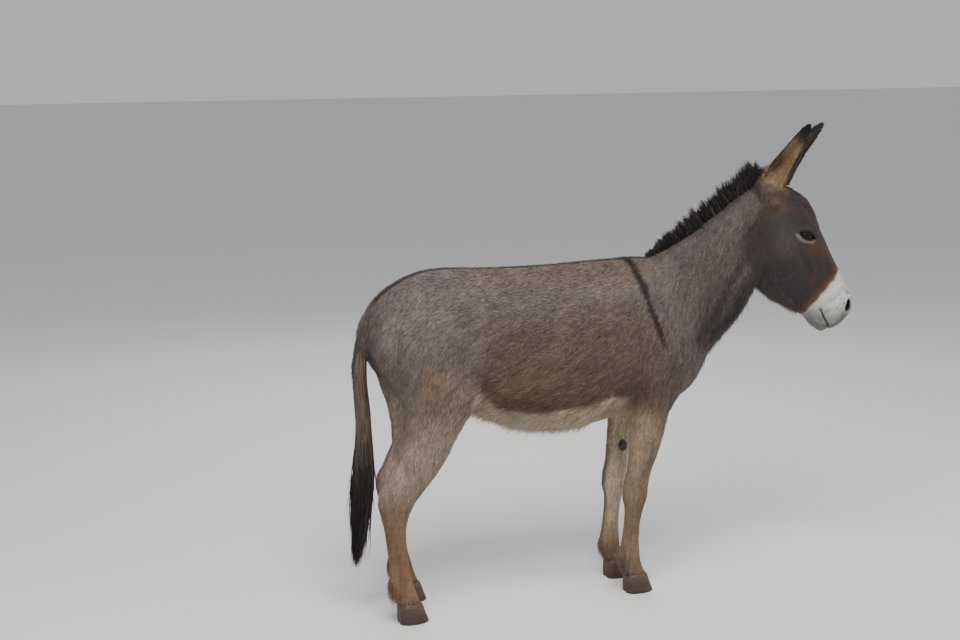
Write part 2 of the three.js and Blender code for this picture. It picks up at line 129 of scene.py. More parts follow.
def ear_frame(hand):
    root, tip = (head_mm(*EARS[hand][end]) for end in ("root", "tip"))
    axis = unit(tip - root)
    turn = math.radians(EARS[hand]["open"])
    mouth = SIDEWAYS * hand * math.cos(turn) + FORWARD * math.sin(turn)
    mouth = unit(mouth - axis * (mouth @ axis))
    return {"root": root, "axis": axis, "length": np.linalg.norm(tip - root), "mouth": mouth,
            "edge": np.cross(mouth, axis)}


EAR = {hand: ear_frame(hand) for hand in (RIGHT, LEFT)}


def ear_place(points, hand):
    """Share of the ear's length, distance along its edge, and distance towards its mouth."""
    ear = EAR[hand]
    away = points - ear["root"]
    return away @ ear["axis"] / ear["length"], away @ ear["edge"], away @ ear["mouth"]


def ear_mask(points):
    """1 on the free part of either ear."""
    mask = np.zeros(len(points))
    for hand in EAR:
        share, across, out = ear_place(points, hand)
        radius = np.hypot(across, out)
        mask = np.maximum(mask, smooth(0.12, 0.3, share) * fade(0.055, 0.075, radius))
    return mask


def head_share(points):
    """0 on the neck, 1 on the head."""
    local = to_head(points)
    along, up = local[..., 0], local[..., 2]
    before_throat = (along + 0.035) * 0.873 + (up - 0.04) * 0.487
    return smooth(-0.012, 0.020, before_throat) * smooth(-0.012, 0.015, up + 0.20)


def eye_plane(along, up):
    """Places beside the eye: along its slant and across it."""
    p = (along - EYE[0]) * math.cos(EYE_SLANT) + (up - EYE[2]) * math.sin(EYE_SLANT)
    q = -(along - EYE[0]) * math.sin(EYE_SLANT) + (up - EYE[2]) * math.cos(EYE_SLANT)
    return p, q


# ---- Fields: signed distance sampled on a box of voxels, negative inside ----
class Field:
    def __init__(self, triangles, voxel, low, high, band):
        self.voxel = voxel
        self.first = np.floor(np.array(low) / voxel).astype(int)
        self.count = np.ceil(np.array(high) / voxel).astype(int) - self.first + 1
        points, faces = triangles
        grid = vdb.FloatGrid.createLevelSetFromPolygons(
            points.astype(np.float32), triangles=faces.astype(np.uint32),
            transform=vdb.createLinearTransform(voxelSize=voxel), halfWidth=band / voxel)
        self.values = np.zeros(self.count, dtype=np.float32)
        grid.copyToArray(self.values, ijk=tuple(int(i) for i in self.first))
        self.band = band

    def block(self, low, high):
        """Slices of the box between two corners, and the points of its voxels."""
        start = np.clip(np.floor(np.array(low) / self.voxel).astype(int) - self.first, 0, self.count)
        stop = np.clip(np.ceil(np.array(high) / self.voxel).astype(int) - self.first + 1, 0, self.count)
        slices = tuple(slice(a, b) for a, b in zip(start, stop))
        axes = [np.arange(a, b) + f for a, b, f in zip(start, stop, self.first)]
        points = np.stack(np.meshgrid(*axes, indexing="ij"), axis=-1) * self.voxel
        return slices, points

    def edit(self, centre, reach, change):
        """Replaces the values around a point by change(values, points)."""
        slices, points = self.block(np.asarray(centre) - reach, np.asarray(centre) + reach)
        self.values[slices] = change(self.values[slices], points)

    def blur(self, sigma):
        """The field blurred with a bell of the given width in metres, as three running means each way."""
        reach = max(1, int(round(sigma / self.voxel)))
        blurred = self.values
        span = 2 * reach + 1
        for axis in range(3):
            blurred = np.moveaxis(blurred, axis, -1)
            for _ in range(3):
                padded = np.pad(blurred, ((0, 0), (0, 0), (reach + 1, reach)), mode="edge")
                total = np.cumsum(padded, axis=-1, dtype=np.float64)
                blurred = ((total[..., span:] - total[..., :-span]) / span).astype(np.float32)
            blurred = np.moveaxis(blurred, -1, axis)
        return blurred

    def surface(self, level=0.0):
        """Vertices and quads of the surface at a level."""
        grid = vdb.FloatGrid(self.band)
        grid.transform = vdb.createLinearTransform(voxelSize=self.voxel)
        grid.copyFromArray(np.clip(self.values, -self.band, self.band), ijk=tuple(int(i) for i in self.first))
        points, triangles, quads = grid.convertToPolygons(isovalue=level, adaptivity=0)
        return points, triangles, quads


def melt(a, b, radius):
    """Joins two fields with a fillet."""
    share = np.clip(0.5 + 0.5 * (b - a) / radius, 0, 1)
    return b + (a - b) * share - radius * share * (1 - share)


def carve(a, b, radius):
    """Cuts field b out of field a with rounded edges."""
    return -melt(-a, b, radius)


def egg(points, centre, axes, radii):
    """A rough distance to a stretched ball."""
    local = (points - centre) @ np.asarray(axes).T
    scaled = np.linalg.norm(local / np.asarray(radii), axis=-1)
    return (scaled - 1) * min(radii)


def cord_field(points, path, radius):
    """Distance to a chain of rods."""
    nearest = np.full(points.shape[:-1], 1e3)
    for start, end in zip(path[:-1], path[1:]):
        run = end - start
        share = np.clip(((points - start) @ run) / (run @ run), 0, 1)
        nearest = np.minimum(nearest, np.linalg.norm(points - start - share[..., None] * run, axis=-1))
    return nearest - radius


# ---- Reading the solids ----
def triangles_of(names):
    points, faces, base = [], [], 0
    for name in names:
        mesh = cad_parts[name].data
        mesh.calc_loop_triangles()
        coords = np.empty(len(mesh.vertices) * 3)
        mesh.vertices.foreach_get("co", coords)
        corners = np.empty(len(mesh.loop_triangles) * 3, dtype=np.int64)
        mesh.loop_triangles.foreach_get("vertices", corners)
        world = np.array(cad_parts[name].matrix_world)
        points.append(coords.reshape(-1, 3) @ world[:3, :3].T + world[:3, 3])
        faces.append(corners.reshape(-1, 3) + base)
        base += len(mesh.vertices)
    return np.concatenate(points), np.concatenate(faces)


def split_quads(triangles, quads):
    parts = [quads[:, [0, 1, 2]], quads[:, [0, 2, 3]]]
    if len(triangles):
        parts.append(triangles)
    return np.concatenate(parts).astype(np.int64)


FLESH_VOXEL, BODY_VOXEL, HEAD_VOXEL = 0.003, 0.0056, 0.0024
CUT_CLOSING = 0.0007
MARGIN = 0.03
CREST_RADIUS = 0.013
CREST_LINE = ((0.432, 1.022), (0.500, 1.054), (0.570, 1.094), (0.650, 1.144), (0.715, 1.188), (0.768, 1.220),
              (0.805, 1.228), (0.838, 1.228))
lowest, highest = (np.array(corner) for corner in solids_box)


def closed_flesh():
    """The solids of flesh as one closed surface, with their cuts and the groove under the mane filled."""
    whole = Field(triangles_of(FLESH), FLESH_VOXEL, lowest - MARGIN, highest + MARGIN, 0.012)
    crest = [body(x, 0, z - CREST_RADIUS) for x, z in CREST_LINE]
    whole.edit((crest[0] + crest[-1]) / 2, 0.26,
               lambda values, points: np.minimum(values, cord_field(points, crest, CREST_RADIUS)))
    points, triangles, quads = whole.surface(CUT_CLOSING)
    return points, split_quads(triangles, quads)


closed = closed_flesh()


def coat_depth(points):
    """How far the skin lies inside the tips of the coat, in metres."""
    legs = fade(0.40, 0.60, points[..., 2])
    return 0.0048 - 0.0022 * legs - 0.0027 * head_share(points)


# ---- Body skin ----
JOINS = [
    # place and reach where limbs flow into the body and the surface is blended most
    (body(0.43, 0.10, 0.60), (0.10, 0.09, 0.10)), (body(0.43, -0.10, 0.60), (0.10, 0.09, 0.10)),
    (body(0.36, 0.05, 0.54), (0.10, 0.06, 0.06)), (body(0.36, -0.05, 0.54), (0.10, 0.06, 0.06)),
    (body(0.47, 0.11, 0.78), (0.13, 0.07, 0.17)), (body(0.47, -0.11, 0.78), (0.13, 0.07, 0.17)),
    (body(-0.20, 0.10, 0.63), (0.12, 0.09, 0.09)), (body(-0.20, -0.10, 0.63), (0.12, 0.09, 0.09)),
    (body(-0.30, 0.12, 0.84), (0.16, 0.08, 0.12)), (body(-0.30, -0.12, 0.84), (0.16, 0.08, 0.12)),
    (body(-0.33, 0.00, 0.62), (0.10, 0.05, 0.08)), (body(-0.43, 0.00, 0.86), (0.05, 0.07, 0.09)),
    (body(0.54, 0.00, 0.70), (0.12, 0.10, 0.12)), (body(0.42, 0.00, 1.00), (0.14, 0.05, 0.06)),
]


def body_skin():
    skin = Field(closed, BODY_VOXEL, lowest - MARGIN, highest + MARGIN, 0.045)
    slices, points = skin.block(lowest - MARGIN, highest + MARGIN)
    fine, broad = skin.blur(0.006), skin.blur(0.019)
    weight = np.zeros(skin.values.shape, dtype=np.float32)
    for centre, reach in JOINS:
        weight = np.maximum(weight, np.exp(-np.sum(((points - centre) / np.array(reach)) ** 2, axis=-1)))
    barrel = smooth(0.60, 0.75, points[..., 2]) * fade(0.60 - SHIFT, 0.70 - SHIFT, points[..., 0])
    by_dock = fade(-0.45 - SHIFT, -0.42 - SHIFT, points[..., 0])
    by_dock = smooth(0.018, 0.03, 0.035 - np.abs(points[..., 1])) * by_dock
    weight = np.maximum(weight, 0.75 * barrel * (1 - by_dock))
    skin.values = fine + (broad - fine) * weight
    skin.values[slices] += coat_depth(points)
    return skin.surface()


# ---- Head skin: finer voxels, with lids, nostrils, lips and ears ----
def arc_on_ball(centre, radius, hand, start, end, rise, steps=9):
    """Points on a ball round the eye: angles run from rear to front corner, rise is the height angle."""
    path = []
    for k in range(steps):
        turn = math.radians(start + (end - start) * k / (steps - 1))
        tilt = math.radians(rise * math.cos(turn * 0.9))
        way = (EYE_LONG * math.sin(turn) * math.cos(tilt) + EYE_LIFT * math.sin(tilt) +
               SIDEWAYS * hand * math.cos(turn) * math.cos(tilt))
        path.append(centre + radius * way)
    return path


LID_ARCS = [
    # join, radius of the arc, start and end angle, rise, thickness and fillet
    (melt, 0.0258, -60, 58, 23, 0.0040, 0.003),  # upper lid, the heavier one, overhangs the eye
    (melt, 0.0251, -57, 55, -27, 0.0025, 0.003),
    (carve, 0.0308, -50, 52, 44, 0.0022, 0.004),  # folds above and below the lids
    (carve, 0.0300, -40, 46, -46, 0.0014, 0.004),
]
EYE_GAP = 0.0275
LID_FRONT = 0.008


def sculpt_eye(skin, hand):
    out = SIDEWAYS * hand
    centre = head_point(EYE[0], hand * EYE[1], EYE[2])

    def change(values, points):
        local = points - centre
        p, q, r = local @ EYE_LONG, local @ EYE_LIFT, local @ out
        distance = np.linalg.norm(local, axis=-1)
        shell = egg(points, centre + out * 0.0005, (EYE_LONG, out, EYE_LIFT), (0.0335, 0.0268, 0.0252))
        values = melt(values, shell, 0.009)
        for join, radius, start, end, rise, thick, fillet in LID_ARCS:
            arc = arc_on_ball(centre, radius, hand, start, end, rise)
            values = join(values, cord_field(points, arc, thick), fillet)
        # almond gap, pointed at the front corner
        share = np.clip(p / EYE_GAP, -1, 1)
        top = 0.0064 * (1 - np.abs(share) ** 2.6) - 0.0004
        bottom = -0.0094 * (1 - np.abs(share) ** 1.9) - 0.0010
        gap = np.maximum(np.maximum(q - top, bottom - q), np.abs(p) - EYE_GAP)
        gap = np.maximum(gap, LID_FRONT - r)
        values = carve(values, gap, 0.0016)
        # the socket
        return np.maximum(values, -(distance - EYE_RADIUS - 0.0004))

    skin.edit(centre, 0.05, change)


def sculpt_ear_foot(skin, hand):
    """The ear's foot, running down to the cheek."""
    ear = EAR[hand]
    foot = head_mm(40, hand * 58, -36) if hand == RIGHT else head_mm(38, hand * 52, -22)
    bowl = ear["root"] + ear["axis"] * 0.012 - ear["mouth"] * 0.003

    def change(values, points):
        values = melt(values, cord_field(points, [ear["root"] + ear["axis"] * 0.004, foot], 0.0185), 0.022)
        cup = egg(points, bowl, (ear["axis"], ear["edge"], ear["mouth"]), (0.046, 0.0365, 0.031))
        return melt(values, cup, 0.018)

    skin.edit(ear["root"], 0.10, change)


def sculpt_nostril(skin, hand):
    along, side, up = HEAD_AXES
    slant = unit(along * 0.80 - up * 0.60)
    lift = unit(along * 0.60 + up * 0.80)
    out = unit(side * hand + along * 0.30)
    axes = (slant, out, lift)
    middle = head_mm(456, hand * 51, 16)

    def change(values, points):
        wing = egg(points, head_mm(456, hand * 43, 17), axes, (0.028, 0.013, 0.018))
        values = melt(values, wing, 0.010)
        rim = egg(points, head_mm(450, hand * 50, 22), axes, (0.022, 0.0060, 0.009))
        values = melt(values, rim, 0.010)
        hole = egg(points, middle + out * 0.004, axes, (0.0250, 0.016, 0.0072))
        deep = egg(points, middle - out * 0.012, axes, (0.0180, 0.024, 0.0056))
        values = carve(values, hole, 0.003)
        return carve(values, deep, 0.003)

    skin.edit(middle, 0.06, change)


def sculpt_mouth(skin):
    centre = head_mm(460, 0, -70)

    def change(values, points):
        local = to_head(points)
        along, up = local[..., 0], local[..., 2]
        line = -0.0615 - 0.0045 * smooth(0.425, 0.452, along) + 0.004 * smooth(0.484, 0.505, along)
        slit = np.maximum(np.abs(up - line) - 0.0011, 0.419 - along)
        slit = np.maximum(slit, -(values + 0.0075))
        values = carve(values, slit, 0.0045)
        # fuller lower lip behind its front edge
        lip = egg(points, head_mm(470, 0, -82), HEAD_AXES, (0.026, 0.034, 0.012))
        return melt(values, lip, 0.010)

    skin.edit(centre, 0.085, change)


def head_skin():
    low = np.array([0.575 - SHIFT, -0.175, 0.72])
    high = np.array([1.16 - SHIFT, 0.115, highest[2] + 0.02])
    skin = Field(closed, HEAD_VOXEL, low, high, 0.022)
    _, points = skin.block(low, high)
    middle, broad = skin.blur(0.0022), skin.blur(0.012)
    thin = Field(triangles_of(("ear_right", "ear_left")), HEAD_VOXEL, low, high, 0.022).values - 0.0005
    flat = points.reshape(-1, 3)
    ears = np.zeros(len(flat), dtype=np.float32)
    for hand in EAR:
        share, across, outwards = ear_place(flat, hand)
        close = fade(0.06, 0.08, np.hypot(across, outwards))
        ears = np.maximum(ears, smooth(0.02, 0.10, share) * close)
    ears = ears.reshape(skin.values.shape)
    local = to_head(points)
    join = near(local, (0.03, 0, -0.02), (0.09, 0.2, 0.09)) * 0.9
    join = np.maximum(join, fade(-0.10, 0.0, local[..., 0] + 0.25 * (0.06 - local[..., 2])))
    join = np.maximum(join, near(local, (0.13, 0, -0.13), (0.06, 0.2, 0.05)))
    skin.values = middle + (broad - middle) * np.clip(join, 0, 1)
    skin.values += coat_depth(points)
    skin.values = np.minimum(skin.values, thin + 0.02 * (1 - ears))
    del middle, broad, join, thin
    for hand in (RIGHT, LEFT):
        sculpt_ear_foot(skin, hand)
        sculpt_eye(skin, hand)
        sculpt_nostril(skin, hand)
    sculpt_mouth(skin)
    return skin.surface()


def half_mesh(surface, keep_front):
    """One side of the neck cut as a bmesh, with the rim edges along the cut."""
    points, triangles, quads = surface
    gap = 0.002 * (1 if keep_front else -1)
    side = (points - NECK_CUT["point"]) @ NECK_CUT["normal"] - gap
    wanted = side > -0.02 if keep_front else side < 0.02
    faces = quads[wanted[quads].all(axis=1)]
    used = np.unique(faces)
    index = np.full(len(points), -1)
    index[used] = np.arange(len(used))
    corners = index[faces].tolist()
    if len(triangles):
        extra = index[triangles[wanted[triangles].all(axis=1)]]
        corners += extra[extra.min(axis=1) >= 0].tolist()
    mesh = bpy.data.meshes.new("half")
    mesh.from_pydata(points[used].tolist(), [], corners)
    half = bmesh.new()
    half.from_mesh(mesh)
    bpy.data.meshes.remove(mesh)
    return half, gap


def joined_skin():
    parts = []
    for surface, keep_front in ((body_skin(), False), (head_skin(), True)):
        half, gap = half_mesh(surface, keep_front)
        bmesh.ops.bisect_plane(
            half, geom=half.verts[:] + half.edges[:] + half.faces[:], dist=1e-6,
            plane_co=Vector(NECK_CUT["point"] + NECK_CUT["normal"] * gap),
            plane_no=Vector(NECK_CUT["normal"]), clear_inner=keep_front, clear_outer=not keep_front)
        mesh = bpy.data.meshes.new("part")
        half.to_mesh(mesh)
        half.free()
        parts.append(mesh)
    whole_skin = bmesh.new()
    for mesh in parts:
        whole_skin.from_mesh(mesh)
        bpy.data.meshes.remove(mesh)
    rim = [edge for edge in whole_skin.edges if edge.is_boundary]
    bmesh.ops.bridge_loops(whole_skin, edges=rim)
    mesh = bpy.data.meshes.new("skin")
    bmesh.ops.triangulate(whole_skin, faces=[f for f in whole_skin.faces if len(f.verts) > 4])
    whole_skin.to_mesh(mesh)
    whole_skin.free()
    return mesh


# ---- Surface forms: bone and muscle that stand out or sink in, in metres ----
BODY_FORMS = [
    # place, reach, height; each is made on both sides
    (body(0.455, 0.135, 0.78), (0.05, 0.08, 0.11), 0.006),  # shoulder blade and arm
    (body(0.300, 0.150, 0.68), (0.06, 0.08, 0.07), 0.006),  # back of the arm above the elbow
    (body(0.365, 0.150, 0.88), (0.028, 0.08, 0.12), -0.004),  # hollow behind the shoulder blade
    (body(0.255, 0.150, 0.58), (0.05, 0.07, 0.05), -0.006),  # hollow behind the elbow
    (body(0.505, 0.100, 0.86), (0.035, 0.07, 0.09), -0.004),  # hollow where neck meets shoulder
    (body(-0.210, 0.150, 0.925), (0.045, 0.06, 0.035), 0.007),  # point of the hip
    (body(-0.165, 0.160, 0.82), (0.055, 0.07, 0.09), -0.008),  # flank hollow
    (body(-0.150, 0.145, 0.66), (0.035, 0.06, 0.05), -0.006),  # flank fold, front
    (body(-0.195, 0.145, 0.64), (0.030, 0.06, 0.07), 0.006),  # stifle
    (body(-0.335, 0.155, 0.80), (0.06, 0.06, 0.10), 0.005),  # thigh
    (body(-0.405, 0.130, 0.74), (0.020, 0.07, 0.14), -0.004),  # groove behind the thigh
    (body(-0.440, 0.090, 0.83), (0.030, 0.05, 0.06), 0.005),  # point of the buttock
    (body(0.520, 0.055, 0.72), (0.05, 0.04, 0.07), 0.005),  # breast
    (body(0.560, 0.000, 0.70), (0.04, 0.014, 0.09), -0.006),  # cleft of the breast
]
LEG_FORMS = [
    (body(0.385, 0.118, 0.285), (0.020, 0.030, 0.035), 0.0025),  # knee
    (body(0.345, 0.105, 0.240), (0.016, 0.030, 0.020), -0.0025),
    (body(0.320, 0.080, 0.300), (0.012, 0.025, 0.018), 0.003),  # bone at the back of the knee
    (body(0.342, 0.105, 0.180), (0.006, 0.020, 0.050), -0.0030),  # groove before the sinews
    (body(0.345, 0.060, 0.180), (0.006, 0.020, 0.050), -0.0030),
    (body(0.400, 0.120, 0.470), (0.020, 0.030, 0.060), 0.004),  # forearm muscle
    (body(0.355, 0.125, 0.400), (0.010, 0.030, 0.080), -0.003),
]
HIND_FORMS = [
    (body(-0.440, 0.100, 0.395), (0.020, 0.018, 0.018), 0.004),  # point of the hock
    (body(-0.392, 0.128, 0.455), (0.012, 0.024, 0.060), -0.006),  # hollow before the hock's sinew
    (body(-0.392, 0.078, 0.455), (0.012, 0.024, 0.060), -0.006),
    (body(-0.385, 0.135, 0.360), (0.020, 0.030, 0.025), 0.003),
    (body(-0.408, 0.118, 0.200), (0.006, 0.020, 0.060), -0.0030),
    (body(-0.408, 0.072, 0.200), (0.006, 0.020, 0.060), -0.0030),
    (body(-0.260, 0.150, 0.560), (0.020, 0.040, 0.080), 0.004),
]
HEAD_FORMS = [
    # along, side, up in mm; reach; height
    ((178, 74, 34), (26, 40, 7), 3.4),  # brow
    ((150, 76, 8), (12, 40, 16), -2.0),
    ((255, 66, -26), (55, 40, 7), 2.6),  # facial crest
    ((255, 62, -44), (50, 40, 12), -2.4),
    ((105, 74, 34), (48, 40, 8), 2.6),  # arch of the cheek bone
    ((118, 68, 44), (26, 40, 16), -3.2),  # hollow above the eye
    ((200, 70, -98), (52, 50, 48), 3.6),  # cheek muscle
    ((262, 66, -96), (14, 50, 40), -3.6),  # its front edge
    ((150, 60, -130), (26, 50, 26), -2.5),
    ((300, 40, 58), (70, 14, 30), 2.0),  # nasal bone's edge
    ((345, 44, 20), (50, 30, 16), -3.0),  # hollow beside the nose
    ((420, 52, -20), (9, 30, 26), -2.6),  # crease behind the nostril
    ((402, 50, -8), (14, 30, 30), 2.0),
    ((60, 62, -30), (26, 40, 40), -3.0),  # behind the cheek
    ((150, 0, 90), (60, 26, 40), 1.5),
]


HEAD_FOLDS = [
    # path, width and depth of a crease
    ([head_mm(30, -70, -40), head_mm(58, -70, -105), head_mm(84, -65, -165)], 0.014, -0.0050),
    ([head_mm(16, -70, -55), head_mm(38, -70, -115), head_mm(60, -65, -180)], 0.009, -0.0022),
    ([head_mm(432, -60, 2), head_mm(428, -58, -24), head_mm(418, -55, -52)], 0.006, -0.0020),
]
BODY_FOLDS = [
    ([body(-0.150, -0.16, 0.76), body(-0.165, -0.15, 0.67), body(-0.205, -0.14, 0.60)], 0.014, -0.0040),
    ([body(0.256, -0.16, 0.65), body(0.272, -0.14, 0.585), body(0.315, -0.12, 0.560)], 0.014, -0.0050),
    ([body(0.60, -0.08, 0.80), body(0.68, -0.07, 0.93), body(0.75, -0.06, 1.02)], 0.020, -0.0040),
    ([body(0.43, -0.10, 1.00), body(0.50, -0.13, 0.86), body(0.545, -0.11, 0.75)], 0.028, -0.0040),
    ([body(0.405, -0.14, 0.66), body(0.425, -0.13, 0.60), body(0.410, -0.12, 0.53)], 0.014, -0.0030),
    ([body(-0.300, -0.17, 0.64), body(-0.350, -0.15, 0.56), body(-0.385, -0.13, 0.47)], 0.016, -0.0040),
    ([body(-0.405, -0.14, 0.86), body(-0.415, -0.15, 0.76), body(-0.385, -0.14, 0.64)], 0.020, -0.0045),
]


def form_surface(points, normals):
    """Moves skin vertices along their normals."""
    height = np.zeros(len(points))
    near_side = points * np.array([1, 0, 1]) - np.outer(np.abs(points[:, 1]), [0, 1, 0])
    far_head = to_head(points) * np.array([1, 0, 1]) - np.outer(np.abs(to_head(points)[:, 1]), [0, 1, 0])
    head_side = POLL + far_head @ HEAD_AXES
    for folds, at in ((BODY_FOLDS, near_side), (HEAD_FOLDS, head_side)):
        for path, width, depth in folds:
            height += depth * np.exp(-(cord_field(at, path, 0.0) / width) ** 2)
    for hand in (RIGHT, LEFT):
        mirror = np.array([1, hand, 1])
        for place, reach, rise in BODY_FORMS:
            height += 1.5 * rise * near(points, place * mirror, reach)
        for place, reach, rise in LEG_FORMS:
            height += rise * near(points, place * mirror, reach)
        for place, reach, rise in HIND_FORMS:
            step = LEFT_HIND_STEP * fade(0.40, 0.64, place[2]) if hand == LEFT else 0
            height += rise * near(points, place * mirror + np.array([step, 0, 0]), reach)
        local = to_head(points) * 1000
        for place, reach, rise in HEAD_FORMS:
            height += 1.25 * rise / 1000 * near(local, np.array(place) * mirror, reach)
    return points + normals * height[:, None]


# ---- Noise for mottling: smooth random values on a lattice ----
LATTICE = 32
NOSTRIL = (0.457, 0.048, 0.016)
NOSTRIL_REACH = (0.0250, 0.0210, 0.0112)
NOSTRIL_TURN = np.array([[0.8, 0, -0.6], [0, 1, 0], [0.6, 0, 0.8]])


def cloud(points, size, seed):
    lattice = np.random.default_rng(seed).random((LATTICE, LATTICE, LATTICE), dtype=np.float32)
    place = points / np.asarray(size) + 100.0
    cell = np.floor(place).astype(int)
    share = place - cell
    share = share * share * (3 - 2 * share)
    value = np.zeros(len(points))
    for corner in range(8):
        offset = np.array([corner & 1, corner >> 1 & 1, corner >> 2 & 1])
        index = (cell + offset) % LATTICE
        weight = np.prod(np.where(offset == 1, share, 1 - share), axis=1)
        value += weight * lattice[index[:, 0], index[:, 1], index[:, 2]]
    return value * 2 - 1


def streaks(points, seed, fine=0.007):
    """Mottling drawn out along the lie of the hair."""
    x, z = points[:, 0] + SHIFT, points[:, 2]
    total, weights = np.zeros(len(points)), np.full(len(points), 1e-6)
    upright = np.maximum(fade(0.45, 0.62, z), np.maximum(smooth(0.25, 0.50, x), fade(-0.42, -0.20, x)))
    lies = ((-0.90, -0.43, 1 - upright), (-0.45, -0.89, upright * smooth(0.45, 0.60, z)),
            (-0.12, -0.99, fade(0.45, 0.60, z)))
    for number, (run, rise, weight) in enumerate(lies):
        turned = np.stack([x * run + z * rise, points[:, 1], z * run - x * rise], axis=1)
        total += weight * cloud(turned, (fine * 6, fine * 2.5, fine), seed + number)
        weights += weight
    return total / weights


# ---- Markings: one painting for skin and coat ----
GREY_BACK = (0.132, 0.097, 0.078)
GREY_RUMP = (0.136, 0.108, 0.092)
BROWN_BARREL = (0.102, 0.068, 0.050)
GREY_SHOULDER = (0.118, 0.094, 0.082)
GREY_NECK = (0.080, 0.064, 0.056)
HEAD_GREY = (0.0360, 0.0280, 0.0265)
FOREHEAD_BROWN = (0.038, 0.024, 0.018)
NOSE_GREY = (0.060, 0.046, 0.040)
REDDISH = (0.115, 0.048, 0.026)
WHITE = (0.62, 0.60, 0.555)
MUZZLE_GREY_AND_SHADE = (0.092, 0.085, 0.081)
PALE_RING = (0.34, 0.29, 0.24)
DARK_SKIN_AND_SHADE = (0.012, 0.009, 0.008)
CREAM = (0.44, 0.355, 0.25)
FRINGE_TAN = (0.105, 0.070, 0.045)
LEG_TAN = (0.195, 0.145, 0.100)
GASKIN_PALE = (0.290, 0.235, 0.180)
FOREARM_PALE = (0.32, 0.235, 0.145)
KNEE_BROWN = (0.145, 0.078, 0.040)
OCHRE = (0.175, 0.108, 0.058)
STRIPE = (0.015, 0.010, 0.009)
EAR_TAN = (0.260, 0.160, 0.068)
EAR_CREAM = (0.42, 0.35, 0.25)
LEG_RUST = (0.200, 0.118, 0.064)
EAR_BLACK = (0.009, 0.006, 0.006)
SHOULDER_STRIPE = [body(*place) for place in (
    (0.358, 0.0, 1.028), (0.361, -0.032, 1.022), (0.365, -0.074, 0.990), (0.377, -0.095, 0.960),
    (0.382, -0.117, 0.919), (0.393, -0.128, 0.882), (0.405, -0.138, 0.838), (0.419, -0.144, 0.796),
    (0.426, -0.150, 0.760))]
CHEEK_FOLD = [np.array(v) for v in ((0.035, 0.07, -0.05), (0.062, 0.07, -0.11), (0.085, 0.065, -0.165))]
BREAST_WAY = np.array([0.75, 0, -0.66])
MOUTH_UP, MOUTH_BACK = 0.0635, 0.417


class Painting:
    """Colours at some points, with tones laid over them by masks."""

    def __init__(self, points, tone):
        self.colour = np.tile(np.array(tone), (len(points), 1))

    def lay(self, tone, mask):
        self.colour = self.colour + (np.array(tone) - self.colour) * np.clip(mask, 0, 1)[:, None]


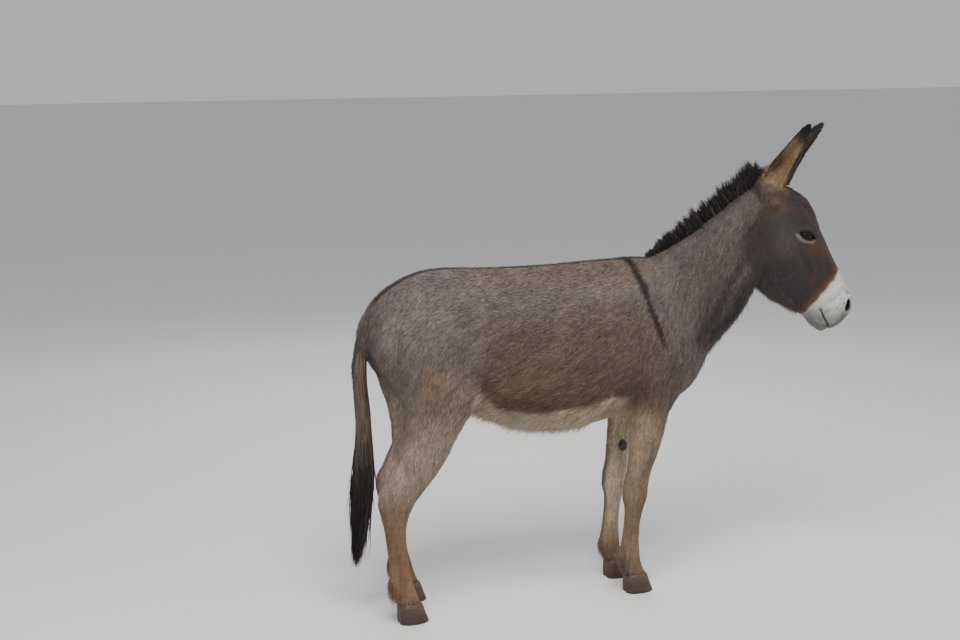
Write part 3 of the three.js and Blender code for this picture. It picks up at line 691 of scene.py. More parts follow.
def paint(points, normals):
    """Base colour of coat and skin at world points."""
    x, y, z = points[:, 0] + SHIFT, points[:, 1], points[:, 2]
    side = np.abs(y)
    mirrored = points * np.array([1, 0, 1]) + np.outer(-side, [0, 1, 0])
    wander = 0.012 * cloud(points, 0.05, 11) + 0.006 * cloud(points, 0.02, 12)
    painting = Painting(points, GREY_SHOULDER)
    lay = painting.lay
    # trunk
    lay(BROWN_BARREL, fade(0.16, 0.42, np.abs(x - 0.10) * 0.95) * smooth(0.55, 0.62, z) *
        fade(0.82, 0.97, z + wander))
    lay(GREY_BACK, smooth(0.90, 1.0, z + wander * 2) * fade(0.40, 0.52, x))
    lay(GREY_RUMP, fade(-0.26, -0.08, x + wander))
    lay(OCHRE, 0.75 * near(mirrored, body(-0.305, -0.17, 0.725), (0.050, 0.08, 0.050)) *
        (0.8 + 0.4 * cloud(points, 0.02, 13)))
    lay(OCHRE, 0.50 * near(mirrored, body(-0.02, -0.19, 0.69), (0.13, 0.08, 0.06)))
    lay(OCHRE, 0.55 * smooth(0.15, 0.8, streaks(points, 61, 0.011)) * fade(0.66, 0.80, z) *
        smooth(-0.40, -0.10, x) * fade(0.30, 0.42, x) * smooth(0.55, 0.60, z))
    lay(GREY_NECK, smooth(0.44, 0.60, x + 0.4 * (z - 0.9)) * smooth(0.62, 0.80, z))
    # the throat's dark grey, deepened as painted shade where the underside of the neck faces down and forward
    lay(HEAD_GREY, 0.90 * smooth(-0.15, 0.50, normals @ BREAST_WAY) * smooth(0.46, 0.58, x) *
        smooth(0.70, 0.82, z))
    lay(BROWN_BARREL, 0.55 * near(mirrored, body(0.36, -0.14, 0.64), (0.09, 0.1, 0.06)))
    # pale belly between flank fold and elbow
    edge = 0.607 + 0.058 * smooth(0.04, 0.16, -0.01 - x) + 0.028 * smooth(0.08, 0.30, x) + wander * 0.8
    belly = fade(-0.010, 0.012, z - edge) * smooth(-0.21, -0.16, x + 0.3 * (z - 0.62)) * fade(0.27, 0.34, x)
    lay(CREAM, belly * smooth(0.49, 0.51, z))
    lay(CREAM, 0.9 * near(mirrored, body(-0.160, -0.135, 0.655), (0.022, 0.06, 0.030)))
    # painted shade: darker in the flank fold and in the fold behind the elbow
    lay(DARK_SKIN_AND_SHADE, 0.30 * near(mirrored, body(-0.135, -0.15, 0.70), (0.020, 0.06, 0.070)))
    lay(DARK_SKIN_AND_SHADE, 0.30 * near(mirrored, body(0.268, -0.15, 0.60), (0.018, 0.06, 0.040)))
    # legs
    fore, hind = smooth(0.20, 0.26, x), fade(-0.16, -0.10, x)
    fore_leg = fore * fade(0.52, 0.62, z + wander)
    hind_leg = hind * fade(0.52, 0.78, z + wander)
    lay(LEG_TAN, np.maximum(fore_leg, hind_leg) * fade(0.44, 0.52, x))
    lay(GASKIN_PALE, 0.70 * hind * smooth(0.34, 0.44, z) * fade(0.52, 0.66, z + wander))
    lay(FOREARM_PALE, 0.75 * fore_leg * smooth(0.35, 0.44, z) * fade(0.345, 0.385, x - 0.25 * (z - 0.40)))
    lay(KNEE_BROWN, 0.75 * fore * np.exp(-((z - 0.27) / 0.045) ** 2) * smooth(0.345, 0.37, x))
    lay(KNEE_BROWN, 0.35 * np.exp(-((z - 0.10) / 0.030) ** 2) * (side > 0.02))
    lay(LEG_RUST, np.maximum(hind, 0.6 * fore) * fade(0.22, 0.42, z + wander * 2))
    inner = smooth(0.15, 0.75, -normals[:, 1] * np.sign(y)) * fade(0.60, 0.72, z) * smooth(0.10, 0.24, z)
    lay(CREAM, 0.85 * inner * np.maximum(fore, hind * smooth(0.30, 0.44, z)))
    groin = fade(0.030, 0.075, side) * fade(0.60, 0.72, z) * smooth(0.40, 0.48, z)
    lay(CREAM, 0.8 * groin * smooth(-0.40, -0.34, x) * fade(0.30, 0.36, x))
    painting.colour *= (1 + 0.26 * streaks(points, 64, 0.005) + 0.11 * streaks(points, 67, 0.020))[:, None]
    # stripe along the back, and the cross over the shoulders
    lay(STRIPE, 0.9 * fade(0.008, 0.014, side + wander * 0.2) * smooth(0.90, 0.96, z) * fade(0.42, 0.46, x))
    run = smooth(0.76, 1.02, z)
    cross = cord_field(mirrored, SHOULDER_STRIPE, 0.0)
    lay(STRIPE, 0.92 * fade(0.0042 + 0.0070 * run, 0.0085 + 0.0090 * run, cross + wander * 0.12) *
        smooth(0.760, 0.80, z))
    # between tail and thighs
    lay(DARK_SKIN_AND_SHADE, 0.9 * near(points, body(-0.435, 0, 0.80), (0.050, 0.045, 0.10)))
    lay(STRIPE, 0.7 * near(points, body(-0.50, 0, 0.75), (0.022, 0.014, 0.22)) * (x < -0.43))
    # painted shade between the backs of the thighs, below the tail
    lay(STRIPE, 0.55 * fade(0.57, 0.68, z) * (x < -0.425) * (side < 0.04) * (z > 0.53))
    paint_head(points, normals, lay)
    return painting.colour


def paint_head(points, normals, lay):
    local = to_head(points)
    along, side, up = local[:, 0], np.abs(local[:, 1]), local[:, 2]
    mirrored = np.stack([along, side, up], axis=1)
    head = head_share(points)
    grain = cloud(points, 0.012, 21)
    patch = cloud(points, 0.035, 22)
    lay(HEAD_GREY, head)
    lay(GREY_NECK, 0.5 * head * near(mirrored, (0.16, 0.08, -0.06), (0.08, 0.06, 0.06)))
    lay(FOREHEAD_BROWN, 0.85 * head * smooth(0.02, 0.06, up) * fade(0.14, 0.20, along))
    lay(NOSE_GREY, 0.8 * head * smooth(0.030, 0.055, up) * smooth(0.17, 0.24, along) * (0.8 + 0.3 * patch))
    lay(FOREHEAD_BROWN, 0.5 * head * near(mirrored, (0.11, 0.07, -0.12), (0.05, 0.06, 0.05)))
    lay(FRINGE_TAN, 0.5 * head * smooth(0.16, 0.28, along) * fade(0.34, 0.40, along) *
        smooth(0.30, 0.85, -(normals @ HEAD_AXES[2])) * smooth(0.105, 0.14, -up))
    lay(REDDISH, 0.25 * head * smooth(0.2, 0.9, patch))
    # painted shade along the crease behind the cheek
    lay(DARK_SKIN_AND_SHADE, 0.45 * np.exp(-(cord_field(mirrored, CHEEK_FOLD, 0.0) / 0.022) ** 2))
    # reddish patch before the eye, and the ring of pale hair round it
    lay(REDDISH, 0.70 * near(mirrored, (0.226, 0.072, 0.006), (0.022, 0.05, 0.020)))
    lay(REDDISH, 0.55 * near(mirrored, (0.255, 0.06, 0.030), (0.026, 0.05, 0.014)))
    p, q = eye_plane(along, up)
    lateral = smooth(0.055, 0.07, side)
    below = np.exp(-((np.hypot(p / 1.65, q + 0.001) - 0.0192) / 0.0042) ** 2) * smooth(0.002, 0.010, -q)
    above = np.exp(-((np.hypot(p / 1.60, q) - 0.0205) / 0.0028) ** 2) * smooth(0.002, 0.010, q)
    lay(PALE_RING, lateral * below * 0.72)
    lay(PALE_RING, lateral * above * 0.05)
    lay(DARK_SKIN_AND_SHADE, 0.7 * lateral * smooth(0.0, 0.006, q) *
        np.exp(-((np.hypot(p / 1.8, q) - 0.0172) / 0.0028) ** 2))
    rim = fade(0.0136, 0.0158, np.hypot(p / 2.05, q))
    lay(DARK_SKIN_AND_SHADE, lateral * rim)
    # white muzzle with a reddish border
    border = np.interp(up, [-0.12, -0.104, -0.067, -0.021, 0.024, 0.059, 0.08],
                       [0.410, 0.406, 0.390, 0.374, 0.366, 0.349, 0.345])
    past = along - border + 0.004 * patch + 0.003 * grain
    lay(REDDISH, 0.85 * head * smooth(-0.030, -0.010, past) * fade(-0.002, 0.006, past))
    muzzle = head * smooth(-0.006, 0.007, past)
    lay(WHITE, muzzle)
    speck = smooth(0.25, 0.75, cloud(points, 0.0045, 23))
    lay(MUZZLE_GREY_AND_SHADE, 0.60 * muzzle * speck * smooth(0.01, 0.07, past))
    lips = near(mirrored, (0.475, 0.02, -0.074), (0.058, 0.06, 0.032))
    # the lips' own grey, laid strong as painted shade on the lower lip
    lay(MUZZLE_GREY_AND_SHADE, 0.92 * muzzle * lips * (0.85 + 0.3 * grain))
    # painted shade on the chin
    lay(MUZZLE_GREY_AND_SHADE, 0.75 * muzzle * near(mirrored, (0.432, 0.03, -0.105), (0.045, 0.06, 0.030)))
    # painted shade, greyer towards the front of the muzzle
    lay(MUZZLE_GREY_AND_SHADE, 0.42 * muzzle * smooth(0.425, 0.495, along) * (0.85 + 0.3 * patch))
    # painted shade in the corner of the mouth
    lay(DARK_SKIN_AND_SHADE, 0.35 * muzzle * near(mirrored, (0.424, 0.05, -0.064), (0.012, 0.05, 0.012)))
    lay(MUZZLE_GREY_AND_SHADE, 0.50 * muzzle * smooth(-0.3, 0.6, cloud(points, 0.018, 24)) * smooth(0.02, 0.06, past))
    # painted shade on the front of the muzzle
    lay(MUZZLE_GREY_AND_SHADE, 0.80 * muzzle * near(mirrored, (0.490, 0.02, 0.0), (0.030, 0.05, 0.045)))
    # painted shade in the nostril's hole
    hole = near((mirrored - np.array(NOSTRIL)) @ NOSTRIL_TURN.T, 0, NOSTRIL_REACH)
    lay(DARK_SKIN_AND_SHADE, smooth(0.36, 0.62, hole))
    # painted shade in the slit of the mouth
    mouth = np.abs(up + MOUTH_UP) < 0.0024
    lay(DARK_SKIN_AND_SHADE, 0.8 * muzzle * mouth * (along > MOUTH_BACK))
    # ears: black rims and tips, and a dark patch low on the rear edge
    for hand in EAR:
        share, across, out = ear_place(points, hand)
        close = fade(0.055, 0.070, np.hypot(across, out))
        free = smooth(0.02, 0.14, share) * close
        inner = smooth(0.0, 0.45, normals @ EAR[hand]["mouth"])
        width = np.interp(share, [0, 0.25, 0.57, 0.76, 0.91, 1], [0.035, 0.041, 0.030, 0.023, 0.016, 0.004])
        over = across / width
        foot = head_mm(34, hand * 58, -30) if hand == RIGHT else head_mm(34, hand * 52, -16)
        lay(EAR_TAN, 0.50 * near(points, foot, (0.028, 0.032, 0.036)) * (0.8 + 0.5 * patch))
        lay(EAR_TAN, free)
        cream = 0.18 if hand == RIGHT else 0.85
        lay(EAR_CREAM, cream * free * inner * fade(0.6, 0.9, np.abs(over)) * (0.75 + 0.4 * patch))
        if hand == RIGHT:
            place = np.stack([share, over * -hand], axis=1)
            lay(DARK_SKIN_AND_SHADE, 0.85 * close * near(place, (0.33, 0.75), (0.16, 0.45)))
        else:
            lay(EAR_BLACK, free * smooth(0.05, 0.35, over) * (1 - inner) * smooth(0.05, 0.15, share) * 0.95)
        lay(EAR_BLACK, free * smooth(0.66, 0.84, over * hand) * smooth(0.06, 0.2, share) * 0.95)
        lay(EAR_BLACK, free * smooth(0.80, 0.97, -over * hand) * smooth(0.1, 0.3, share) * 0.9)
        low = 0.62 if hand == RIGHT else 0.72
        lay(EAR_BLACK, free * smooth(low, low + 0.10, share + 0.04 * patch - 0.05 * np.abs(over)))


# ---- Unwrap: sleeves round trunk, neck, head, ears, legs and dock, never a view ----
PATCH = 0.003  # what each tuft or strand takes of its picture, across
# height, place along the body and distance from its middle
FORE_AXIS = np.array([[0.05, 0.361, 0.076], [0.10, 0.339, 0.076], [0.16, 0.340, 0.076], [0.215, 0.345, 0.077],
                      [0.30, 0.354, 0.079], [0.38, 0.365, 0.082], [0.50, 0.391, 0.088], [0.62, 0.410, 0.092]])
HIND_AXIS = np.array([[0.05, -0.364, 0.090], [0.092, -0.387, 0.090], [0.155, -0.396, 0.092],
                      [0.215, -0.403, 0.094], [0.285, -0.409, 0.097], [0.365, -0.403, 0.099],
                      [0.44, -0.353, 0.102], [0.55, -0.296, 0.108],
                      [0.62, -0.275, 0.110], [0.70, -0.273, 0.108]])
DOCK_AXIS = np.array([[0.575, -0.469], [0.67, -0.4765], [0.75, -0.481], [0.83, -0.4675], [0.89, -0.445],
                      [0.93, -0.419]])
REGIONS = ("trunk", "neck", "head", "ear_right", "ear_left", "foreleg_right", "foreleg_left",
           "hind_leg_right", "hind_leg_left", "dock")
RODS = {
    "trunk": (body(-0.40, 0, 0.80), body(0.46, 0, 0.80), 0.20),
    "neck": (body(0.52, 0, 0.88), head_point(0.02, 0, -0.06), 0.10),
    "head": (head_point(0.0, 0, -0.05), head_point(0.43, 0, -0.035), 0.07),
    "ear_right": (EAR[RIGHT]["root"], EAR[RIGHT]["root"] + EAR[RIGHT]["axis"] * EAR[RIGHT]["length"], 0.02),
    "ear_left": (EAR[LEFT]["root"], EAR[LEFT]["root"] + EAR[LEFT]["axis"] * EAR[LEFT]["length"], 0.02),
}
# left edge, bottom, width and height of each sleeve on the whole skin's unwrap
SHEETS = {
    "trunk": (0.01, 0.45, 0.62, 0.53), "neck": (0.66, 0.62, 0.33, 0.36), "head": (0.66, 0.24, 0.33, 0.36),
    "ear_right": (0.66, 0.01, 0.16, 0.21), "ear_left": (0.83, 0.01, 0.16, 0.21),
    "foreleg_right": (0.01, 0.01, 0.13, 0.42), "foreleg_left": (0.15, 0.01, 0.13, 0.42),
    "hind_leg_right": (0.29, 0.01, 0.13, 0.42), "hind_leg_left": (0.43, 0.01, 0.13, 0.42),
    "dock": (0.57, 0.01, 0.07, 0.42),
}


def leg_axis(table, z, hand):
    step = LEFT_HIND_STEP * fade(0.40, 0.64, z) if table is HIND_AXIS and hand == LEFT else 0
    x, y = (np.interp(z, table[:, 0], table[:, k]) for k in (1, 2))
    return x - SHIFT + step, y * hand


def region_of(points):
    x, y, z = points[:, 0] + SHIFT, points[:, 1], points[:, 2]
    region = np.zeros(len(points), dtype=int)
    region[0.912 * x + 0.409 * z > 0.836] = REGIONS.index("neck")
    region[head_share(points) > 0.5] = REGIONS.index("head")
    for hand, name in ((RIGHT, "right"), (LEFT, "left")):
        share, across, out = ear_place(points, hand)
        region[(share > 0.10) & (np.hypot(across, out) < 0.062)] = REGIONS.index("ear_" + name)
        region[(z < 0.585) & (x > 0.22) & (y * hand > 0)] = REGIONS.index("foreleg_" + name)
        region[(z < 0.640) & (x < -0.13) & (y * hand > 0)] = REGIONS.index("hind_leg_" + name)
    centre = np.interp(z, DOCK_AXIS[:, 0], DOCK_AXIS[:, 1])
    by_dock = (np.abs(y) < 0.036) & (np.abs(x - centre) < 0.036)
    region[by_dock & (z < 0.91) & (z > 0.565) & (x < -0.38)] = REGIONS.index("dock")
    return region


def sleeve(points, name):
    """Angle round a sleeve's axis, in turns, and length along it, both about 0 to 1."""
    if name in RODS:
        start, end, radius = RODS[name]
        axis = unit(end - start)
        length = np.linalg.norm(end - start)
        across = unit(np.cross(axis, UPRIGHT if abs(axis[2]) < 0.9 else FORWARD))
        rise = np.cross(across, axis)
        away = points - start
        run, p, q = away @ axis, away @ across, away @ rise
        radial = np.hypot(p, q)
        past = np.where(run > length, run - length, np.where(run < 0, run, 0))
        ends = np.where(past != 0, radius * np.arctan2(past, np.maximum(radial, 1e-6)) * 1.6, 0)
        along = (np.clip(run, 0, length) + ends + radius * 2.5) / (length + radius * 5)
        return np.arctan2(p, -q) / math.tau + 0.5, along
    if name == "dock":
        x = np.interp(points[:, 2], DOCK_AXIS[:, 0], DOCK_AXIS[:, 1]) - SHIFT
        return np.arctan2(points[:, 1], points[:, 0] - x) / math.tau + 0.5, (points[:, 2] - 0.56) / 0.38
    hand = RIGHT if name.endswith("right") else LEFT
    table = FORE_AXIS if name.startswith("fore") else HIND_AXIS
    x, y = leg_axis(table, points[:, 2], hand)
    turn = np.arctan2(hand * (points[:, 1] - y), points[:, 0] - x) / math.tau + 0.5
    return turn, (points[:, 2] - 0.04) / 0.63


def skin_unwrap(points, corners, corner_face, middles, region):
    """UV of each face corner of the skin."""
    uv = np.zeros((len(corners), 2))
    for number, name in enumerate(REGIONS):
        mine = region[corner_face] == number
        if not mine.any():
            continue
        turn, run = sleeve(points[corners[mine]], name)
        middle = sleeve(middles[corner_face[mine]], name)[0]
        turn = middle + (turn - middle + 0.5) % 1 - 0.5
        left, bottom, width, height = SHEETS[name]
        uv[mine, 0] = left + width * np.clip(0.03 + 0.94 * turn, 0, 1)
        uv[mine, 1] = bottom + height * np.clip(run, 0, 1)
    return uv


def coat_unwrap(roots, region, names):
    """Places of tufts on the unwrap of one piece: its sleeves side by side."""
    uv = np.zeros((len(roots), 2))
    for number, name in enumerate(names):
        mine = region == REGIONS.index(name)
        if not mine.any():
            continue
        turn, run = sleeve(roots[mine], name)
        low, high = run.min(), run.max()
        uv[mine, 0] = (number + 0.03 + 0.94 * turn % 1) / len(names)
        uv[mine, 1] = 0.01 + 0.97 * (run - low) / max(high - low, 1e-6)
    return uv


# ---- Making pieces ----
def make_mesh(name, points, faces, tint, smooth_faces=True, normals=None, uv=None):
    mesh = bpy.data.meshes.new(name)
    mesh.vertices.add(len(points))
    mesh.vertices.foreach_set("co", np.ascontiguousarray(points, dtype=np.float32).ravel())
    mesh.loops.add(faces.size)
    mesh.loops.foreach_set("vertex_index", np.ascontiguousarray(faces, dtype=np.int32).ravel())
    mesh.polygons.add(len(faces))
    mesh.polygons.foreach_set("loop_start", np.arange(0, faces.size, faces.shape[1], dtype=np.int32))
    mesh.polygons.foreach_set("use_smooth", np.full(len(faces), smooth_faces))
    mesh.update(calc_edges=True)
    add_tint(mesh, tint)
    if uv is not None:
        layer = mesh.uv_layers.new(name="OFBake")
        layer.uv.foreach_set("vector", np.ascontiguousarray(uv, dtype=np.float32).ravel())
    if normals is not None:
        mesh.normals_split_custom_set_from_vertices(np.ascontiguousarray(normals, dtype=np.float32))
    return mesh


def add_tint(mesh, tint):
    values = np.ones((len(mesh.vertices), 4), dtype=np.float32)
    values[:, :3] = np.clip(tint, 0.002, 0.95)
    mesh.attributes.new("Tint", "FLOAT_COLOR", "POINT").data.foreach_set("color", values.ravel())


def piece(name, mesh, material, slot, replaced=()):
    mesh.materials.append(material)
    thing = bpy.data.objects.new(name, mesh)
    bpy.context.scene.collection.objects.link(thing)
    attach(thing, "root")
    if replaced:
        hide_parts(*replaced)
    return thing


# ---- Materials ----
class Value:
    """A socket that takes part in sums."""

    def __init__(self, look, socket):
        self.look, self.socket = look, socket

    def sum(self, kind, other, swapped=False):
        pair = (other, self) if swapped else (self, other)
        return self.look.node("ShaderNodeMath", {"operation": kind}, {0: pair[0], 1: pair[1]})

    def __add__(self, other): return self.sum("ADD", other)
    def __radd__(self, other): return self.sum("ADD", other, True)
    def __mul__(self, other): return self.sum("MULTIPLY", other)
    def __rmul__(self, other): return self.sum("MULTIPLY", other, True)


class Look:
    """A procedural material."""

    def __init__(self, name, roughness=0.7, **fixed):
        self.material = bpy.data.materials.new(name)
        self.material.use_nodes = True
        self.tree = self.material.node_tree
        self.shader = self.tree.nodes["Principled BSDF"]
        self.shader.inputs["Roughness"].default_value = roughness
        for key, value in fixed.items():
            self.shader.inputs[key.replace("_", " ")].default_value = value

    def feed(self, socket, value):
        if isinstance(value, Value):
            self.tree.links.new(value.socket, socket)
        else:
            socket.default_value = value

    def node(self, kind, settings=None, values=None, out=0):
        node = self.tree.nodes.new(kind)
        for key, value in (settings or {}).items():
            setattr(node, key, value)
        for key, value in (values or {}).items():
            self.feed(node.inputs[key], value)
        return Value(self, node.outputs[out])

    def place(self):
        return self.node("ShaderNodeTexCoord", out="Object")

    def stretched(self, scale):
        return self.node("ShaderNodeVectorMath", {"operation": "MULTIPLY"}, {0: self.place(), 1: scale})

    def noise(self, scale, detail=2.0, stretch=(1, 1, 1)):
        return self.node("ShaderNodeTexNoise", {}, {
            "Vector": self.stretched(stretch), "Scale": scale, "Detail": detail})

    def tint(self):
        return self.node("ShaderNodeAttribute", {"attribute_name": "Tint"}, out="Color")

    def shaded(self, colour, brightness):
        """A colour made lighter or darker by a value."""
        return self.node("ShaderNodeVectorMath", {"operation": "SCALE"}, {0: colour, "Scale": brightness})

    def bump(self, height, strength, distance):
        self.feed(self.shader.inputs["Normal"], self.node(
            "ShaderNodeBump", {}, {"Height": height, "Strength": strength, "Distance": distance}, out="Normal"))

    def set(self, name, value):
        self.feed(self.shader.inputs[name], value)


def fur_look(name, roughness, fine, contrast, sheen):
    look = Look(name, roughness, Sheen_Weight=sheen, Sheen_Roughness=0.5, Specular_IOR_Level=0.25)
    grain = look.noise(fine, 3)
    look.set("Base Color", look.shaded(look.tint(), 1 - contrast / 2 + contrast * grain))
    look.set("Roughness", roughness - 0.08 + 0.16 * look.noise(fine / 6, 1))
    return look.material


def skin_look():
    look = Look("hide", 0.75, Specular_IOR_Level=0.2, Sheen_Weight=0.1)
    hairs = look.noise(420, 3, (0.5, 1, 0.45))
    pores = look.noise(900, 2)
    look.set("Base Color", look.shaded(look.tint(), 0.62 + 0.55 * hairs))
    look.set("Roughness", 0.62 + 0.2 * pores)
    look.bump(hairs * 0.8 + pores * 0.2, 0.55, 0.0012)
    return look.material


def hair_look(name, roughness, sheen=0.0):
    look = Look(name, roughness, Specular_IOR_Level=0.4, Sheen_Weight=sheen)
    strands = look.noise(160, 2, (1, 1, 0.25))
    look.set("Base Color", look.shaded(look.tint(), 0.70 + 0.6 * strands))
    look.set("Roughness", roughness - 0.06 + 0.12 * strands)
    return look.material


def horn_look():
    look = Look("horn", 0.42, Specular_IOR_Level=0.45)
    rings = look.node("ShaderNodeTexWave", {"wave_type": "BANDS", "bands_direction": "Z"}, {
        "Vector": look.place(), "Scale": 46.0, "Distortion": 1.6, "Detail": 2.0, "Detail Scale": 1.2}, out="Fac")
    streaks = look.noise(60, 3, (6, 6, 0.6))
    wear = look.noise(28, 3)
    look.set("Base Color", look.shaded(look.tint(), 0.55 + 0.35 * streaks + 0.25 * rings + 0.25 * wear))
    look.set("Roughness", 0.35 + 0.3 * wear)
    look.bump(rings * 0.5 + streaks * 0.5, 0.5, 0.0010)
    return look.material


def eye_look():
    look = Look("eyeball", 0.3, Coat_Weight=0.36, Coat_Roughness=0.015, Specular_IOR_Level=0.06)
    fibres = look.noise(700, 3)
    look.set("Base Color", look.shaded(look.tint(), 0.75 + 0.5 * fibres))
    look.set("Roughness", 0.25 + 0.1 * fibres)
    return look.material


# ---- Skin ----
def relaxed(points, faces, weight, rounds):
    """Points drawn towards their neighbours and pushed back again, so that facets go and size stays."""
    pairs = np.concatenate([faces[:, [0, 1]], faces[:, [1, 2]], faces[:, [2, 0]]])
    pairs = np.unique(np.sort(pairs, axis=1), axis=0)
    a, b = pairs[:, 0], pairs[:, 1]
    count = np.maximum(np.bincount(a, minlength=len(points)) + np.bincount(b, minlength=len(points)), 1)
    for step in range(rounds * 2):
        pull = 0.55 if step % 2 == 0 else -0.57
        size = len(points)
        mean = np.stack([(np.bincount(a, points[b, k], size) + np.bincount(b, points[a, k], size)) / count
                         for k in range(3)], axis=1)
        points = points + (mean - points) * (weight * pull)[:, None]
    return points


def face_cross(points, faces):
    """Normals of faces, as long as twice their area."""
    return np.cross(points[faces[:, 1]] - points[faces[:, 0]], points[faces[:, 2]] - points[faces[:, 0]])


def vertex_normals(points, faces):
    cross = face_cross(points, faces)
    return unit(np.stack([sum(np.bincount(faces[:, c], cross[:, k], len(points)) for c in range(3))
                          for k in range(3)], axis=1))


def read_mesh(mesh):
    mesh.calc_loop_triangles()
    points = np.empty(len(mesh.vertices) * 3, dtype=np.float32)
    mesh.vertices.foreach_get("co", points)
    faces = np.empty(len(mesh.loop_triangles) * 3, dtype=np.int32)
    mesh.loop_triangles.foreach_get("vertices", faces)
    return points.reshape(-1, 3).astype(float), faces.reshape(-1, 3).astype(np.int64)


skin_mesh = joined_skin()
skin_points, skin_faces = read_mesh(skin_mesh)
if np.einsum("ij,ij->", skin_points[skin_faces[:, 0]],
             np.cross(skin_points[skin_faces[:, 1]], skin_points[skin_faces[:, 2]])) < 0:
    skin_mesh.flip_normals()
    skin_faces = skin_faces[:, ::-1]
skin_points = relaxed(skin_points, skin_faces, 0.25 + 0.75 * ear_mask(skin_points), 6)
skin_points = form_surface(skin_points, vertex_normals(skin_points, skin_faces))
skin_normals = vertex_normals(skin_points, skin_faces)
skin_mesh.vertices.foreach_set("co", skin_points.astype(np.float32).ravel())
skin_mesh.update()
skin_tint = paint(skin_points, skin_normals)
add_tint(skin_mesh, skin_tint * 0.85)
skin_mesh.polygons.foreach_set("use_smooth", [True] * len(skin_mesh.polygons))
corners = np.empty(len(skin_mesh.loops), dtype=np.int32)
skin_mesh.loops.foreach_get("vertex_index", corners)
totals = np.empty(len(skin_mesh.polygons), dtype=np.int32)
skin_mesh.polygons.foreach_get("loop_total", totals)
middles = np.empty(len(skin_mesh.polygons) * 3, dtype=np.float32)
skin_mesh.polygons.foreach_get("center", middles)
middles = middles.reshape(-1, 3).astype(float)
corner_face = np.repeat(np.arange(len(totals)), totals)
skin_mesh.uv_layers.new(name="OFBake").uv.foreach_set("vector", skin_unwrap(
    skin_points, corners, corner_face, middles, region_of(middles)).astype(np.float32).ravel())
piece("skin", skin_mesh, skin_look(), "coat_grey", FLESH)


# ---- Coat ----
FLOW = np.array([
    # x, z, and the way the hair lies there
    (0.78, 1.15, -0.60, -0.80), (0.66, 1.00, -0.60, -0.80), (0.62, 0.84, -0.40, -0.92),
    (0.45, 1.00, -0.80, -0.60), (0.46, 0.80, -0.50, -0.87), (0.52, 0.66, -0.20, -0.98),
    (0.20, 0.98, -1.00, -0.15), (0.20, 0.80, -0.88, -0.47), (0.20, 0.60, -0.95, -0.30),
    (-0.10, 0.98, -1.00, -0.10), (-0.10, 0.80, -0.86, -0.50), (-0.10, 0.62, -0.85, -0.52),
    (-0.30, 0.95, -0.90, -0.42), (-0.30, 0.80, -0.50, -0.87), (-0.43, 0.86, -0.45, -0.90),
    (-0.30, 0.60, -0.20, -0.98), (0.38, 0.50, -0.25, -0.97), (0.35, 0.20, -0.10, -1.00),
    (-0.40, 0.42, -0.15, -0.99), (-0.40, 0.18, -0.10, -1.00)])


def lie_of_coat(points, normals, rng):
    """The way each tuft lies, along the skin."""
    x, z = points[:, 0] + SHIFT, points[:, 2]
    weight = np.exp(-((x[:, None] - FLOW[:, 0]) ** 2 + (z[:, None] - FLOW[:, 1]) ** 2) / 0.13 ** 2) + 1e-7
    way = np.zeros((len(points), 3))
    way[:, 0] = weight @ FLOW[:, 2] / weight.sum(axis=1)
    way[:, 2] = weight @ FLOW[:, 3] / weight.sum(axis=1)
    way[:, 1] = np.sign(points[:, 1]) * 0.35 * smooth(0.85, 1.0, z)
    head = head_share(points)[:, None]
    local = to_head(points)
    droop = 0.5 * smooth(0.0, 0.10, -local[:, 2]) * fade(0.25, 0.36, local[:, 0])
    way = way * (1 - head) + (HEAD_AXES[0][None] - HEAD_AXES[2][None] * droop[:, None]) * head
    for hand in EAR:
        share, across, out = ear_place(points, hand)
        ear = (smooth(0.02, 0.12, share) * fade(0.05, 0.07, np.hypot(across, out)))[:, None]
        way = way * (1 - ear) + EAR[hand]["axis"] * ear
    way = unit(way - normals * np.sum(way * normals, axis=1, keepdims=True))
    turn = 0.28 * cloud(points, 0.035, 31) + 0.16 * cloud(points, 0.012, 32)
    turn = turn + rng.normal(0, 0.14, len(points))
    return way * np.cos(turn)[:, None] + np.cross(normals, way) * np.sin(turn)[:, None]


def tuft_size(points):
    """Length and width of tufts."""
    x, z = points[:, 0] + SHIFT, points[:, 2]
    local = to_head(points)
    length = np.full(len(points), 0.021)
    length += 0.010 * fade(0.60, 0.66, z) * smooth(-0.16, -0.10, x) * fade(0.26, 0.32, x)
    length += 0.005 * near(points * np.array([1, 0, 1]), body(0.62, 0, 0.80), (0.14, 1, 0.14))
    width = np.full(len(points), 0.0034)
    leg = fade(0.42, 0.62, z)
    leg = np.where((x > 0.20) | (x < -0.12), leg, 0)
    length += (0.011 - length) * leg
    width += (0.0023 - width) * leg
    hock = fade(0.22, 0.40, z)
    length += (0.0085 - length) * hock
    length += 0.005 * fade(0.060, 0.085, z)
    head = head_share(points)
    face = 0.0095 + 0.009 * near(np.abs(local), (0.22, 0.02, 0.165), (0.12, 0.06, 0.035)) * (local[:, 2] < 0)
    brow_locks = 0.0075 * near(local, (0.06, 0, 0.07), (0.06, 0.055, 0.05))
    face = face - 0.0050 * smooth(0.34, 0.42, local[:, 0]) + brow_locks
    length += (face - length) * head
    width += (0.0018 - 0.0007 * smooth(0.34, 0.42, local[:, 0]) - width) * head
    ring = np.hypot(local[:, 0] - EYE[0], local[:, 2] - EYE[2])
    ring = ring + 3 * np.maximum(0, 0.05 - np.abs(local[:, 1]))
    length -= head * 0.0045 * fade(0.020, 0.045, ring)
    ears = ear_mask(points)
    length += (0.0080 - length) * ears
    width += (0.0016 - width) * ears
    return length, width


